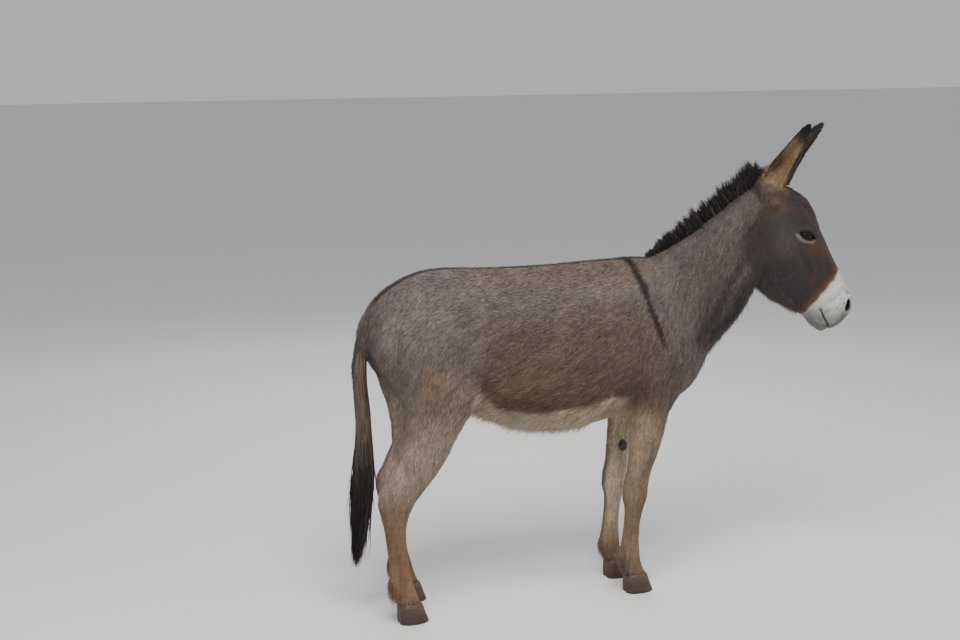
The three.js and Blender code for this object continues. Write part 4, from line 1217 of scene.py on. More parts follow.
def bare(points):
    """True where no tufts grow: lids, nostrils, mouth, under the hooves' edge and inside the sockets."""
    local = to_head(points)
    along, side, up = local[:, 0], np.abs(local[:, 1]), local[:, 2]
    p, q = eye_plane(along, up)
    lids = (np.hypot(p / 1.70, q) < 0.0162) & (side > 0.03)
    from_nostril = (np.stack([along, side, up], axis=1) - np.array(NOSTRIL)) @ NOSTRIL_TURN.T
    hole = near(from_nostril, 0, NOSTRIL_REACH) > 0.40
    mouth = (np.abs(up + MOUTH_UP) < 0.0035) & (along > MOUTH_BACK)
    return lids | hole | mouth | (points[:, 2] < 0.0570)


face_region = region_of(skin_points[skin_faces].mean(axis=1))
face_area = np.linalg.norm(face_cross(skin_points, skin_faces), axis=1) / 2


def roots_on_skin(wanted, count, rng, weights=None):
    """Even places on the wanted faces: points, normals and face numbers."""
    faces = np.flatnonzero(wanted)
    weight = face_area[faces] * (1 if weights is None else weights[faces])
    total = np.cumsum(weight)
    steps = (np.arange(count) + rng.random(count)) * total[-1] / count
    picks = faces[np.minimum(np.searchsorted(total, steps), len(faces) - 1)]
    a, b = np.sqrt(rng.random(count)), rng.random(count)
    shares = np.stack([1 - a, a * (1 - b), a * b], axis=1)[:, :, None]
    corners = skin_faces[picks]
    roots, normals = ((values[corners] * shares).sum(axis=1) for values in (skin_points, skin_normals))
    return roots, unit(normals), picks


middle_of_face = skin_points[skin_faces].mean(axis=1)
face_length, face_width = tuft_size(middle_of_face)
tuft_density = 1 / (face_length * face_width)


def coat(name, names, wanted, count, seed, material, slot):
    """Tufts, each a three-sided spike, lying back along the skin."""
    rng = np.random.default_rng(seed)
    roots, normals, picks = roots_on_skin(wanted, count, rng, tuft_density)
    keep = ~bare(roots)
    roots, normals, picks = roots[keep], normals[keep], picks[keep]
    count = len(roots)
    length, width = tuft_size(roots)
    length = length * rng.uniform(0.70, 1.20, count)
    width = width * rng.uniform(0.75, 1.25, count)
    stray = rng.random(count) < 0.05
    lift = np.radians(rng.normal(8.5, 3.0, count).clip(2, 18)) + np.radians(9) * stray
    way = lie_of_coat(roots, normals, rng)
    across = np.cross(normals, way)
    tips = roots + way * (length * np.cos(lift))[:, None]
    tips = tips + normals * (length * np.sin(lift) - 0.0006)[:, None]
    base = roots - normals * 0.0010
    thick = np.minimum(width * 0.42, 0.0016)
    tip_side = rng.normal(0, 0.10, count) * length
    tips = tips + across * tip_side[:, None]
    half = across * (width / 2)[:, None]
    ridge = base + normals * (thick + 0.0006)[:, None] + way * (length * 0.12)[:, None]
    points = np.stack([base - half, base + half, ridge, tips], axis=1).reshape(-1, 3)
    first = np.arange(count)[:, None, None] * 4
    faces = (first + np.array([[0, 3, 2], [2, 3, 1], [1, 3, 0], [0, 2, 1]])).reshape(-1, 3)
    tint = paint(roots, normals)
    mottle = (1 + 0.12 * cloud(roots, 0.014, 41) + 0.10 * cloud(roots, 0.05, 42) +
              0.24 * head_share(roots) * cloud(roots, 0.006, 43))
    light = rng.normal(1.0, 0.26, count) * mottle
    warm = 1 + rng.normal(0, 0.035, (count, 3))
    tint = tint * light.clip(0.35, 1.9)[:, None] * warm
    tints = np.stack([tint * 0.68, tint * 0.68, tint * 0.90, tint * 1.24], axis=1).reshape(-1, 3)
    lean = np.stack([normals - across * 0.35, normals + across * 0.35,
                     normals, normals * 0.95 + way * 0.25], axis=1)
    centre = coat_unwrap(roots, face_region[picks], names)
    patch = centre[:, None] + np.array([[-1, -1], [1, -1], [0, 0], [0, 1]]) * (PATCH / 2)
    uv = patch.reshape(-1, 2)[faces.ravel()]
    mesh = make_mesh(name, points, faces, tints, True, unit(lean.reshape(-1, 3)), uv)
    return piece(name, mesh, material, slot)


def in_regions(*names):
    return np.isin(face_region, [REGIONS.index(name) for name in names])


long_fur = fur_look("long_coat", 0.74, 260, 0.45, 0.06)
short_fur = fur_look("short_coat", 0.66, 420, 0.35, 0.05)
place_x = middle_of_face[:, 0] + SHIFT
trunk = in_regions("trunk")
COATS = (
    # piece, regions, part of them, tufts, fur and slot
    ("coat_barrel", ("trunk",), (place_x > -0.13) & (place_x <= 0.24), 48000, long_fur, "coat_grey"),
    ("coat_rump", ("trunk",), place_x <= -0.13, 44000, long_fur, "coat_grey"),
    ("coat_shoulders", ("trunk",), place_x > 0.24, 40000, long_fur, "coat_grey"),
    ("coat_neck", ("neck",), True, 38000, long_fur, "coat_grey"),
    ("coat_head", ("head",), True, 46000, short_fur, "coat_head"),
    ("coat_ears", ("ear_right", "ear_left"), True, 17000, short_fur, "ear_brown"),
    ("coat_forelegs", ("foreleg_right", "foreleg_left"), True, 27000, short_fur, "coat_leg"),
    ("coat_hind_legs", ("hind_leg_right", "hind_leg_left", "dock"), True, 34000, short_fur, "coat_leg"))
for seed, (name, regions, where, count, fur, slot) in enumerate(COATS, 1):
    coat(name, regions, in_regions(*regions) & where, count, seed, fur, slot)


# ---- Long hair: tapering three-sided strands ----
def strands(name, paths, widths, tints, material, slot, replaced=(), unwrap=None):
    """Paths are (strand, step, 3); widths and tints run along the steps."""
    count, steps = paths.shape[:2]
    run = unit(np.gradient(paths, axis=1))
    side = unit(np.cross(run, np.array([0.31, 0.87, 0.38])))
    other = np.cross(run, side)
    rings = []
    for corner in range(3):
        turn = math.tau * corner / 3
        rings.append(paths + (side * math.cos(turn) + other * math.sin(turn)) * widths[..., None] / 2)
    rings = np.stack(rings, axis=2)[:, :-1]
    points = np.concatenate([rings.reshape(count, -1, 3), paths[:, -1:]], axis=1)
    per = points.shape[1]
    faces = [(0, 2, 1)]
    for step in range(steps - 2):
        for corner in range(3):
            a, b = step * 3 + corner, step * 3 + (corner + 1) % 3
            faces += [(a, b, b + 3), (a, b + 3, a + 3)]
    last = (steps - 2) * 3
    faces += [(last + c, last + (c + 1) % 3, per - 1) for c in range(3)]
    faces = (np.arange(count)[:, None, None] * per + np.array(faces)).reshape(-1, 3)
    shade = np.concatenate([np.repeat(tints[:, :-1], 3, axis=1), tints[:, -1:]], axis=1).reshape(-1, 3)
    if unwrap is None:
        unwrap = np.random.default_rng(7).random((count, 2)) * 0.98 + 0.01
    places = np.stack([np.tile([0, 1, 2], steps - 1), np.repeat(np.arange(steps - 1), 3)], axis=1)
    inside = np.concatenate([places, [[1, steps - 1]]]) / np.array([2, steps - 1]) - 0.5
    uv = (unwrap[:, None] + inside * PATCH).reshape(-1, 2)[faces.ravel()]
    mesh = make_mesh(name, points.reshape(-1, 3), faces, shade, True, None, uv)
    return piece(name, mesh, material, slot, replaced)


def taper(width, count, rng, shape):
    """Widths along strands, with some strands thicker than others."""
    return width * rng.uniform(0.7, 1.2, count)[:, None] * np.array(shape)[None]


def toned(tint, steps):
    """Each strand's tone, lighter or darker along its steps."""
    return tint[:, None] * np.array(steps)[None, :, None]


def unwrap_box(turn, run):
    return np.stack([0.01 + 0.98 * (turn % 1), 0.01 + 0.98 * np.clip(run, 0, 1)], axis=1)


def plan_steps(count, rng):
    """Small random steps, none of them upwards."""
    return np.stack([rng.normal(0, 0.004, count), rng.normal(0, 0.004, count), np.zeros(count)], axis=1)


# station along the crest; x and z of roots and of tips; half width (mm)
MANE = np.array([[0, 432, 1022, 424, 1040, 10], [1, 500, 1054, 470, 1092, 14], [2, 570, 1094, 530, 1140, 16],
                 [3, 650, 1144, 606, 1200, 17], [4, 715, 1188, 678, 1258, 17], [5, 768, 1220, 744, 1310, 16],
                 [6, 805, 1228, 800, 1312, 14], [7, 838, 1228, 850, 1280, 8]])
DARK_HAIR = np.array((0.0105, 0.0078, 0.0066))
HAIRS_IN_EAR, WHISKERS = 1000, 70


def mane():
    rng = np.random.default_rng(50)
    count, steps = 3200, 5
    station = 7 * rng.random(count) ** 0.95
    row = [np.interp(station, MANE[:, 0], MANE[:, k]) / 1000 for k in range(1, 6)]
    spread = rng.uniform(-1, 1, count)
    side = spread * row[4] * 0.80
    root = np.stack([row[0] - SHIFT, side, row[1] - 0.010 - 0.010 * spread ** 2], axis=1)
    tip = np.stack([row[2] - SHIFT, side * 0.75, row[3]], axis=1)
    reach = rng.uniform(0.62, 1.0, count) * (1 - 0.32 * spread ** 2)
    reach = np.where(rng.random(count) < 0.5, np.maximum(reach, 0.9 - 0.3 * spread ** 2), reach)
    clump = cloud(np.stack([station, spread, np.zeros(count)], axis=1), (0.22, 0.8, 1), 51)
    lock = np.round(station * 8).astype(int)
    lock_rng = np.random.default_rng(52)
    lean, height = lock_rng.normal(0, 1, 64), lock_rng.uniform(0.82, 1.05, 64)
    lock_x, lock_z = (np.interp(lock / 8, MANE[:, 0], MANE[:, k]) / 1000 for k in (3, 4))
    target = np.stack([lock_x - SHIFT, side * 0.2 + 0.006 * lean[lock], lock_z], axis=1)
    tip = tip + (target - tip) * rng.uniform(0.70, 0.97, count)[:, None]
    tip = root + (tip - root) * ((reach + 0.03 * clump) * height[lock])[:, None]
    tip += plan_steps(count, rng) + clump[:, None] * np.array([0.010, 0, 0])
    share = np.linspace(0, 1, steps)[None, :, None]
    sway = plan_steps(count, rng)
    paths = root[:, None] + (tip - root)[:, None] * share + sway[:, None] * np.sin(share * math.pi)
    widths = rng.uniform(0.0022, 0.0036, count)[:, None] * np.array([1.0, 0.95, 0.8, 0.5, 0])[None]
    pale = (rng.random(count) < 0.02 + 0.16 * (np.abs(spread) > 0.90))[:, None]
    tint = np.where(pale, np.array((0.075, 0.052, 0.036)), DARK_HAIR * rng.uniform(0.6, 1.6, count)[:, None])
    tints = toned(tint, (0.8, 0.9, 1.0, 1.15, 1.4))
    unwrap = np.stack([0.01 + 0.98 * station / 7, 0.5 + 0.48 * spread], axis=1)
    look = hair_look("mane_hair", 0.55)
    return strands("mane", paths, widths, tints, look, "mane_black", ("mane",), unwrap)


# height, front, back and half width (mm)
SWITCH = np.array([[150, -496, -504, 3], [205, -469, -518, 17], [275, -456, -516, 26], [350, -443, -516, 32],
                   [440, -439, -508, 31], [510, -443, -501, 26], [575, -447, -492, 22], [670, -453, -500, 23],
                   [750, -455, -507, 25], [830, -441, -494, 27], [890, -418, -472, 28]])


def tail():
    rng = np.random.default_rng(60)
    count, steps = 1600, 8
    top = 0.545 + 0.25 * rng.random(count) ** 1.7
    low = 0.150 + 0.20 * rng.random(count) ** 1.5
    low = np.where(rng.random(count) < 0.30, low + 0.14 * rng.random(count), low)
    share = np.linspace(0, 1, steps)[None]
    z = top[:, None] + (low - top)[:, None] * share
    front, back, half = (np.interp(z * 1000, SWITCH[:, 0], SWITCH[:, k]) / 1000 for k in (1, 2, 3))
    turn = rng.uniform(0, math.tau, count)
    ripple = 0.90 + 0.09 * np.sin(share * 7 + turn[:, None] * 3)
    radius = (0.20 + 0.76 * np.sqrt(rng.random(count)))[:, None] * ripple
    radius = radius + (0.96 - radius) * smooth(0.555, 0.60, z)
    radius *= 1 - 0.16 * smooth(0.42, 0.28, z) - 0.08 * smooth(0.30, 0.20, z) * rng.random(count)[:, None]
    radius *= 1 - 0.20 * smooth(0.60, 0.72, z)
    radius[:, 0] *= 0.85
    lock = np.round(turn / math.tau * 17) * math.tau / 17 - turn
    twist = turn[:, None] + lock[:, None] * 0.7 * smooth(0.45, 1.0, share) + 0.22 * np.sin(
        share * 4 + rng.uniform(0, 6, count)[:, None]) * share
    x = (front + back) / 2 + (front - back) / 2 * radius * np.cos(twist) - SHIFT
    y = half * radius * np.sin(twist)
    stray = rng.normal(0, 1, (count, 2)) * np.where(rng.random(count) < 0.22, 0.011, 0.0045)[:, None]
    waft = smooth(0.35, 1.0, share) ** 1.5
    x, y = x + stray[:, :1] * waft - 0.004 * waft, y + stray[:, 1:] * waft
    paths = np.stack([x, y, z], axis=-1)
    thick = rng.uniform(0.0020, 0.0036, count)[:, None] * 1.12
    widths = thick * np.array([0.6, 1, 1, 1, 0.95, 0.8, 0.5, 0])[None]
    brown = (rng.random(count) < 0.10)[:, None]
    dark = np.where(brown, np.array((0.036, 0.022, 0.014)), DARK_HAIR * rng.uniform(0.6, 1.7, count)[:, None])
    hide = np.array((0.115, 0.083, 0.066)) * rng.uniform(0.6, 1.3, count)[:, None]
    upper = (0.9 * smooth(0.40, 0.60, z + rng.normal(0, 0.03, count)[:, None]))[..., None]
    tints = dark[:, None] + (hide - dark)[:, None] * upper
    unwrap = np.stack([0.01 + 0.98 * turn / math.tau, 0.01 + 0.98 * rng.random(count)], axis=1)
    look = hair_look("tail_hair", 0.5)
    return strands("tail_switch_hair", paths, widths, tints, look, "mane_black", ("tail_switch",), unwrap)


def curved(roots, ways, bends, lengths, steps=4):
    """Paths from roots along ways, bending over."""
    share = np.linspace(0, 1, steps)[None, :, None]
    return roots[:, None] + lengths[:, None, None] * (ways[:, None] * share + bends[:, None] * share ** 2)


def fringe(name, wanted, count, seed, length, width, bend, tint_of, material, slot, lift=0.5):
    """Longer single hairs on some faces of the skin."""
    rng = np.random.default_rng(seed)
    roots, normals, _ = roots_on_skin(wanted, count, rng)
    keep = ~bare(roots)
    roots, normals = roots[keep], normals[keep]
    way = unit(lie_of_coat(roots, normals, rng) + normals * lift)
    lengths = length * rng.uniform(0.45, 1.1, len(roots)) * (0.75 + 0.35 * cloud(roots, 0.02, seed))
    bends = bend(roots, normals) + rng.normal(0, 0.10, roots.shape)
    paths = curved(roots - normals * 0.001, way, bends, lengths)
    widths = taper(width, len(roots), rng, (1, 0.85, 0.55, 0))
    tint = tint_of(roots, normals) * rng.uniform(0.75, 1.25, len(roots))[:, None]
    unwrap = unwrap_box(*sleeve(roots, name_of_sleeve(name)))
    return strands(name, paths, widths, toned(tint, (0.85, 0.95, 1.05, 1.15)), material, slot, (), unwrap)


def name_of_sleeve(name):
    return "trunk" if "belly" in name else "neck" if "throat" in name else "head"


mane()
tail()
soft_hair = hair_look("soft_hair", 0.62, 0.15)
face_local = to_head(middle_of_face)
face_normal = unit(skin_normals[skin_faces].sum(axis=1))


def down(points, normals):
    return np.tile([-0.05, 0, -0.55], (len(points), 1))


def jaw_tone(points, normals):
    return paint(points, normals) * 0.9 + np.array(FRINGE_TAN) * 0.08


jaw = (in_regions("head") & (face_normal @ HEAD_AXES[2] < -0.35) & (face_local[:, 2] < -0.122) &
       (face_local[:, 0] > 0.215) & (face_local[:, 0] < 0.40))
fringe("fringe_jaw", jaw, 1900, 71, 0.022, 0.0009, down, jaw_tone, soft_hair, "coat_head", 0.45)
belly = (trunk & (middle_of_face[:, 2] < 0.62) & (face_normal[:, 2] < 0.1) &
         (place_x > -0.20) & (place_x < 0.30))
fringe("fringe_belly", belly, 2600, 72, 0.042, 0.0018, down, paint, soft_hair, "coat_white", 0.25)
throat = in_regions("neck") & (face_normal @ BREAST_WAY > 0.55)
fringe("fringe_throat", throat, 1800, 73, 0.034, 0.0018, down, paint, soft_hair, "coat_grey", 0.30)


def forelock():
    """Shaggy hair between the ears, falling forward over the brow."""
    rng = np.random.default_rng(77)
    along, side, up = face_local.T
    brow = in_regions("head") & (along > -0.02) & (along < 0.10) & (np.abs(side) < 0.040) & (up > 0.02)
    roots, normals, _ = roots_on_skin(brow, 1300, rng)
    drift = np.sign(to_head(roots)[:, 1])[:, None] * SIDEWAYS
    way = unit(HEAD_AXES[0] + normals * 0.42 + drift * 0.25 + rng.normal(0, 0.18, roots.shape))
    lengths = 0.026 * rng.uniform(0.4, 1.15, len(roots)) * (0.8 + 0.4 * cloud(roots, 0.015, 78))
    paths = curved(roots - normals * 0.001, way, rng.normal(0, 0.1, roots.shape) - normals * 0.25, lengths)
    widths = taper(0.0013, len(roots), rng, (1, 0.85, 0.5, 0))
    tint = paint(roots, normals) * 0.6 + np.array(FOREHEAD_BROWN) * 0.6
    tints = toned(tint * rng.uniform(0.6, 1.3, len(roots))[:, None], (0.8, 0.95, 1.05, 1.2))
    strands("forelock", paths, widths, tints, soft_hair, "coat_head", (), unwrap_box(*sleeve(roots, "head")))


def share_of_range(values):
    """Values spread from 0.01 to 0.99."""
    return (values - values.min()) / np.ptp(values) * 0.98 + 0.01


def fetlock_hair():
    """Short hair behind the fetlocks and over the hooves' edge."""
    rng = np.random.default_rng(74)
    groups = []
    z = middle_of_face[:, 2]
    for table, z_low, z_high in ((FORE_AXIS, 0.075, 0.135), (HIND_AXIS, 0.080, 0.140)):
        for hand in (RIGHT, LEFT):
            x, _ = leg_axis(table, z, hand)
            leg = (middle_of_face[:, 1] * hand > 0) & (np.abs(middle_of_face[:, 0] - x) < 0.07)
            back = leg & (z > z_low) & (z < z_high) & (face_normal[:, 0] < -0.45)
            edge = leg & (z > 0.0560) & (z < 0.074) & (np.abs(face_normal[:, 2]) < 0.8)
            groups += [roots_on_skin(faces, amount, rng) for faces, amount in ((back, 260), (edge, 340))]
    roots, normals = (np.concatenate([g[k] for g in groups]) for k in (0, 1))
    low = smooth(0.074, 0.070, roots[:, 2])[:, None]
    way = unit(normals * (0.5 - 0.12 * low) + np.array([0, 0, -1.0]) + rng.normal(0, 0.10, roots.shape))
    lengths = (0.024 - 0.010 * low[:, 0]) * rng.uniform(0.6, 1.15, len(roots))
    paths = curved(roots - normals * 0.001, way, np.tile([0.02, 0, -0.25], (len(roots), 1)), lengths)
    widths = taper(0.0015, len(roots), rng, (1, 0.85, 0.5, 0))
    tint = paint(roots, normals) * rng.uniform(0.6, 1.15, len(roots))[:, None]
    tints = toned(tint, (0.8, 0.95, 1.05, 1.1))
    unwrap = np.stack([share_of_range(roots[:, k]) for k in (0, 1)], axis=1)
    strands("fringe_fetlocks", paths, widths, tints, soft_hair, "coat_leg", (), unwrap)


def ear_hair():
    """Long pale hair growing from the rims across the ears' openings."""
    rng = np.random.default_rng(75)
    ways, roots, normals, unwrap = [], [], [], []
    for number, (hand, name) in enumerate(((RIGHT, "ear_right"), (LEFT, "ear_left"))):
        ear = EAR[hand]
        share, _, _ = ear_place(middle_of_face, hand)
        mine = in_regions(name) & (face_normal @ ear["mouth"] > 0.05) & (share > 0.12) & (share < 0.80)
        at, out, _ = roots_on_skin(mine, HAIRS_IN_EAR, rng)
        _, side, _ = ear_place(at, hand)
        inward = -np.sign(side)[:, None] * ear["edge"]
        open_way = 0.30 if hand == RIGHT else 0.75
        way = ear["axis"] * 0.9 + inward * 0.30 + ear["mouth"] * open_way
        ways.append(unit(way + rng.normal(0, 0.16, at.shape)))
        roots.append(at)
        normals.append(out)
        turn, run = sleeve(at, name)
        box = unwrap_box(turn, run)
        box[:, 0] = (number + 0.03 + 0.94 * (turn % 1)) / 2
        unwrap.append(box)
    roots, ways, normals, unwrap = (np.concatenate(v) for v in (roots, ways, normals, unwrap))
    lengths = 0.026 * rng.uniform(0.5, 1.2, len(roots))
    paths = curved(roots - normals * 0.0008, ways, rng.normal(0, 0.12, roots.shape), lengths)
    widths = taper(0.0011, len(roots), rng, (1, 0.85, 0.55, 0))
    pale = np.where(np.arange(len(roots)) < HAIRS_IN_EAR, 0.06, 0.45)[:, None]
    tint = paint(roots, normals) * (1 - pale) + np.array(EAR_CREAM) * pale
    tints = toned(tint * rng.uniform(0.7, 1.25, len(roots))[:, None], (0.8, 0.95, 1.05, 1.15))
    strands("ear_hair", paths, widths, tints, soft_hair, "ear_brown", (), unwrap)


def lashes_and_whiskers():
    rng = np.random.default_rng(76)
    roots, ways, bends, lengths = [], [], [], []
    for hand in (RIGHT, LEFT):
        centre = head_point(EYE[0], hand * EYE[1], EYE[2])
        out = SIDEWAYS * hand
        for rise, turns, length, amount in ((27, (-46, 46), 0.013, 46), (-27, (-34, 36), 0.007, 20)):
            lid = arc_on_ball(centre, 0.0270, hand, turns[0], turns[1], rise, amount)
            for at in lid:
                away = unit(at - centre)
                roots.append(at - away * 0.002)
                ways.append(unit(away + out * 0.5 + rng.normal(0, 0.08, 3) - UPRIGHT * 0.35 * (rise > 0)))
                bends.append(UPRIGHT * (0.25 if rise > 0 else -0.1))
                lengths.append(length * rng.uniform(0.75, 1.1))
    for _ in range(WHISKERS):
        hand = RIGHT if rng.random() < 0.5 else LEFT
        along, up = rng.uniform(0.43, 0.492), rng.uniform(-0.095, -0.03)
        place = head_point(along, hand * 0.03, up)
        nearest = np.argmin(np.sum((skin_points - place - SIDEWAYS * hand * 0.012) ** 2, axis=1))
        roots.append(skin_points[nearest])
        ways.append(unit(skin_normals[nearest] + HEAD_AXES[0] * 0.3 + rng.normal(0, 0.25, 3)))
        bends.append(-UPRIGHT * 0.35)
        lengths.append(rng.uniform(0.012, 0.030))
    roots, ways, bends, lengths = (np.array(v) for v in (roots, ways, bends, lengths))
    paths = curved(roots, ways, bends, lengths)
    eyelash = np.arange(len(roots)) < len(roots) - WHISKERS
    widths = np.where(eyelash, 0.0007, 0.0004)[:, None] * np.array([1, 0.85, 0.5, 0])[None]
    tint = np.where(eyelash[:, None], DARK_HAIR, np.array((0.30, 0.27, 0.23)))
    strands("lashes_and_whiskers", paths, widths, toned(tint, (1, 1, 1, 1)), soft_hair, "mane_black")


forelock()
fetlock_hair()
ear_hair()
lashes_and_whiskers()


# ---- Hooves ----
HOOF_LEVELS = (0.0, 0.0016, 0.005, 0.010, 0.015, 0.020, 0.026, 0.032, 0.038, 0.044, 0.049, 0.0525, 0.0560,
               0.0620)
# height, front, back and half width
HOOF_ROWS = np.array([[0.0, 0.047, -0.045, 0.0350], [0.026, 0.0367, -0.047, 0.0329],
                      [0.052, 0.0282, -0.0461, 0.0315]])
HOOF_MIDDLE = -0.006
HOOF_ROUND = 72
HOOF_TURNED_IN = {0.0: 0.955, 0.0016: 0.985, 0.0560: 0.90, 0.0620: 0.74}
SOLE_HOLLOW = 0.0065
HOOF_DARK, HOOF_PALE = np.array((0.052, 0.027, 0.016)), np.array((0.105, 0.070, 0.045))


def hoof_ring(x, y, z, phase):
    """Points round a hoof at one level: a blunt egg, ribbed, with a cleft between the heels."""
    front, back, half = (np.interp(min(z, 0.052), HOOF_ROWS[:, 0], HOOF_ROWS[:, k]) for k in (1, 2, 3))
    scale = HOOF_TURNED_IN.get(z, 1.0) * (0.975 if 0.044 < z < 0.056 else 1)
    ribs = 0.006 * math.sin(z * 700 + phase) + 0.004 * math.sin(z * 1500 + phase * 2)
    ring = 1 + ribs * (0.004 < z < 0.045)
    points = []
    for k in range(HOOF_ROUND):
        turn = math.tau * k / HOOF_ROUND
        c, s = math.cos(turn), math.sin(turn)
        power = 2.1 if c > 0 else 2.8
        reach = front - HOOF_MIDDLE if c > 0 else HOOF_MIDDLE - back
        px = HOOF_MIDDLE + reach * scale * ring * math.copysign(abs(c) ** (2 / power), c)
        py = half * scale * ring * math.copysign(abs(s) ** (2 / power), s)
        heel = math.exp(-(py / 0.006) ** 2) * (c < -0.5)
        points.append((x - SHIFT + px + 0.006 * heel * (1 - z / 0.06), y + py, z))
    return points


def hoof(name, x, y):
    phase = np.random.default_rng(len(name) + int(abs(x) * 1000)).uniform(0, 6)
    points = [point for z in HOOF_LEVELS for point in hoof_ring(x, y, z, phase)]
    base, top = len(points), len(points) - HOOF_ROUND
    centre = x - SHIFT + HOOF_MIDDLE
    # hollow sole
    for share, z in ((0.86, 0.0), (0.74, 0.004), (0.35, SOLE_HOLLOW)):
        points += [(centre + (px - centre) * share, y + (py - y) * share, z)
                   for px, py, _ in points[:HOOF_ROUND]]
    sole = [0, base, base + HOOF_ROUND, base + 2 * HOOF_ROUND]
    centre_low, centre_top = len(points), len(points) + 1
    points += [(centre, y, SOLE_HOLLOW), (centre, y, HOOF_LEVELS[-1])]
    sides = [(k, (k + 1) % HOOF_ROUND) for k in range(HOOF_ROUND)]
    quads, caps = [], []
    for low in range(0, top, HOOF_ROUND):
        quads += [(low + k, low + n, low + n + HOOF_ROUND, low + k + HOOF_ROUND) for k, n in sides]
    for inner, outer in zip(sole[1:], sole[:-1]):
        quads += [(outer + n, outer + k, inner + k, inner + n) for k, n in sides]
    for k, n in sides:
        caps += [(sole[3] + n, sole[3] + k, centre_low), (top + k, top + n, centre_top)]
    points, quads = np.array(points), np.array(quads)
    faces = np.concatenate([quads[:, [0, 1, 2]], quads[:, [0, 2, 3]], np.array(caps)])
    z = points[:, 2]
    tint = HOOF_DARK * (0.75 + 0.5 * smooth(0.0, 0.03, z))[:, None]
    tint = tint + (HOOF_PALE - tint) * (0.55 * smooth(0.040, 0.050, z))[:, None]
    tint = tint * (1 - 0.25 * smooth(0.0, 0.6, np.sin(z * 900 + phase)))[:, None]
    piece("hoof_" + name, make_mesh("hoof_" + name, points, faces, tint), horn, "horn", ("hoof_" + name,))


horn = horn_look()
for hand, word in ((RIGHT, "right"), (LEFT, "left")):
    hoof("fore_" + word, FORE_HOOF_X, hand * 0.076)
    hoof("hind_" + word, -0.357 + (LEFT_HIND_STEP if hand == LEFT else 0), hand * 0.090)


# ---- Eyes ----
EYE_DEEP, IRIS_BROWN, PUPIL = (np.array(v) for v in ((0.016, 0.0105, 0.009), (0.0085, 0.0045, 0.0030),
                                                     (0.004, 0.003, 0.003)))


def grid_faces(rows, around):
    """Triangles between rows of points, each row closed on itself."""
    faces = []
    for low in range(0, rows * around, around):
        for k in range(around):
            n = (k + 1) % around
            a, b, c, d = low + k, low + n, low + n + around, low + k + around
            faces += [(a, d, c), (a, c, b)]
    return faces


def eyeball(hand, word):
    across, tall = 64, 40
    centre = head_point(EYE[0], hand * EYE[1], EYE[2])
    out = unit(SIDEWAYS * hand + HEAD_AXES[0] * 0.16 + HEAD_AXES[2] * 0.05)
    slant = HEAD_AXES[0] * math.cos(EYE_SLANT) + HEAD_AXES[2] * math.sin(EYE_SLANT)
    slant = unit(slant - out * (slant @ out))
    lift = np.cross(out, slant)
    points, tint = [], []
    for row in range(tall + 1):
        tilt = math.pi * row / tall
        flat = math.sin(tilt)
        cornea = 1 + 0.035 * math.exp(-(tilt / 0.42) ** 2)
        for k in range(across):
            turn = math.tau * k / across
            direction = out * math.cos(tilt) + (slant * math.cos(turn) + lift * math.sin(turn)) * flat
            points.append(centre + direction * EYE_RADIUS * 0.985 * cornea)
            p, q = flat * math.cos(turn), flat * math.sin(turn)
            pupil = iris = 0.0
            if math.cos(tilt) > 0:
                pupil = fade(0.75, 1.0, np.array(math.hypot(p / 0.40, q / 0.22)))
                iris = fade(0.66, 0.74, np.array(math.hypot(p, q)))
            brown = IRIS_BROWN * (0.8 + 0.5 * math.hypot(p, q))
            colour = EYE_DEEP + (brown - EYE_DEEP) * iris
            tint.append(colour + (PUPIL - colour) * pupil)
    points, tint, faces = (np.array(v) for v in (points, tint, grid_faces(tall, across)))
    faces = faces[np.linalg.norm(face_cross(points, faces), axis=1) > 1e-12]
    name = "eye_" + word
    piece(name + "_ball", make_mesh(name, points, faces, tint), wet_eye, "eye_dark", (name,))


wet_eye = eye_look()
eyeball(RIGHT, "right")
eyeball(LEFT, "left")


# ---- Bare callus on the inner side of each foreleg ----
def chestnut(hand, word):
    rows, around = 8, 28
    centre = body(0.371, hand * 0.048, 0.430)
    nearest = np.argmin(np.sum((skin_points - centre) ** 2, axis=1))
    at, out = skin_points[nearest], skin_normals[nearest]
    long = unit(UPRIGHT - out * out[2])
    wide = np.cross(out, long)
    points = []
    for row in range(rows + 1):
        slope = row / rows * math.pi / 2
        rim = math.sin(slope)
        for k in range(around):
            turn = math.tau * k / around
            height = 0.0028 * math.cos(slope) - 0.0008 + 0.0004 * math.sin(turn * 5)
            edge = at + long * 0.0200 * rim * math.cos(turn) + wide * 0.0145 * rim * math.sin(turn)
            points.append(edge + out * height)
    points.append(at - out * 0.002)
    faces = grid_faces(rows, around)
    # at the tip one triangle a side is enough
    del faces[1:2 * around:2]
    last = rows * around
    faces += [(last + (k + 1) % around, last + k, len(points) - 1) for k in range(around)]
    points, faces = np.array(points), np.array(faces)
    mesh = make_mesh("chestnut_" + word, points, faces, np.tile((0.022, 0.016, 0.013), (len(points), 1)))
    piece("chestnut_" + word, mesh, horn, "horn")


chestnut(RIGHT, "right")
chestnut(LEFT, "left")


# ---- Stage: floor, lights and camera ----
FLOOR_TONE, FLOOR_ROUGHNESS = (0.74, 0.73, 0.71, 1), 0.9
FLOOR_HALF = 60
SKY_TONE, SKY_STRENGTH = (0.93, 0.95, 1.0, 1), 0.55
LIT_PLACE = Vector((0, 0, 0.7))
LAMPS = (
    # name, place, watts and size
    ("key", (-1.2, -2.6, 4.4), 250, 2.6), ("fill", (3.0, -2.6, 2.4), 45, 3.0),
    ("back", (0.5, 3.4, 3.2), 60, 3.0))
CAMERA_PLACE = (-1.576 - SHIFT, -4.255, 1.62)
CAMERA_TURN, CAMERA_DIP, CAMERA_ROLL = (math.radians(angle) for angle in (19, 9.56, -0.6))
SENSOR, FOCAL_LENGTH, PICTURE_WIDTH = 36, 1556, 960  # millimetres, pixels, pixels


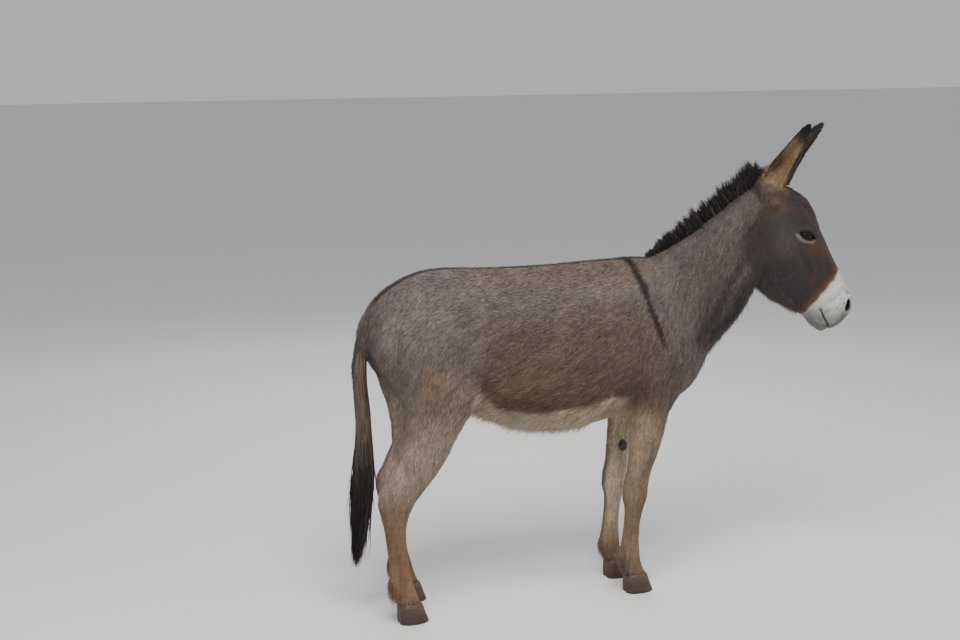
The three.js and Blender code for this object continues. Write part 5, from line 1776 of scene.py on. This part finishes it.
def stage():
    floor = bpy.data.meshes.new("floor")
    corners = [(x * FLOOR_HALF, y * FLOOR_HALF, 0) for x, y in ((-1, -1), (1, -1), (1, 1), (-1, 1))]
    floor.from_pydata(corners, [], [(0, 1, 2, 3)])
    ground = bpy.data.objects.new("floor", floor)
    bpy.context.scene.collection.objects.link(ground)
    pale = bpy.data.materials.new("pale_floor")
    pale.use_nodes = True
    surface = pale.node_tree.nodes["Principled BSDF"].inputs
    surface["Base Color"].default_value = FLOOR_TONE
    surface["Roughness"].default_value = FLOOR_ROUGHNESS
    floor.materials.append(pale)
    world = bpy.data.worlds.new("studio")
    world.use_nodes = True
    sky = world.node_tree.nodes["Background"].inputs
    sky["Color"].default_value = SKY_TONE
    sky["Strength"].default_value = SKY_STRENGTH
    bpy.context.scene.world = world
    for name, place, energy, size in LAMPS:
        lamp = bpy.data.lights.new(name, "AREA")
        lamp.energy, lamp.size = energy, size
        light = bpy.data.objects.new(name, lamp)
        light.location = place
        light.rotation_euler = (LIT_PLACE - Vector(place)).to_track_quat("-Z", "Y").to_euler()
        bpy.context.scene.collection.objects.link(light)


def camera():
    view = Vector((math.sin(CAMERA_TURN) * math.cos(CAMERA_DIP), math.cos(CAMERA_TURN) * math.cos(CAMERA_DIP),
                   -math.sin(CAMERA_DIP)))
    right = view.cross(Vector((0, 0, 1))).normalized()
    up = right.cross(view)
    across = right * math.cos(CAMERA_ROLL) + up * math.sin(CAMERA_ROLL)
    upwards = up * math.cos(CAMERA_ROLL) - right * math.sin(CAMERA_ROLL)
    lens = bpy.data.cameras.new("camera")
    lens.sensor_width, lens.lens = SENSOR, FOCAL_LENGTH / PICTURE_WIDTH * SENSOR
    lens.clip_end = 100
    eye = bpy.data.objects.new("camera", lens)
    turned = Matrix([(across[i], upwards[i], -view[i]) for i in range(3)]).to_4x4()
    eye.matrix_world = Matrix.Translation(CAMERA_PLACE) @ turned
    bpy.context.scene.collection.objects.link(eye)
    bpy.context.scene.camera = eye


stage()
camera()
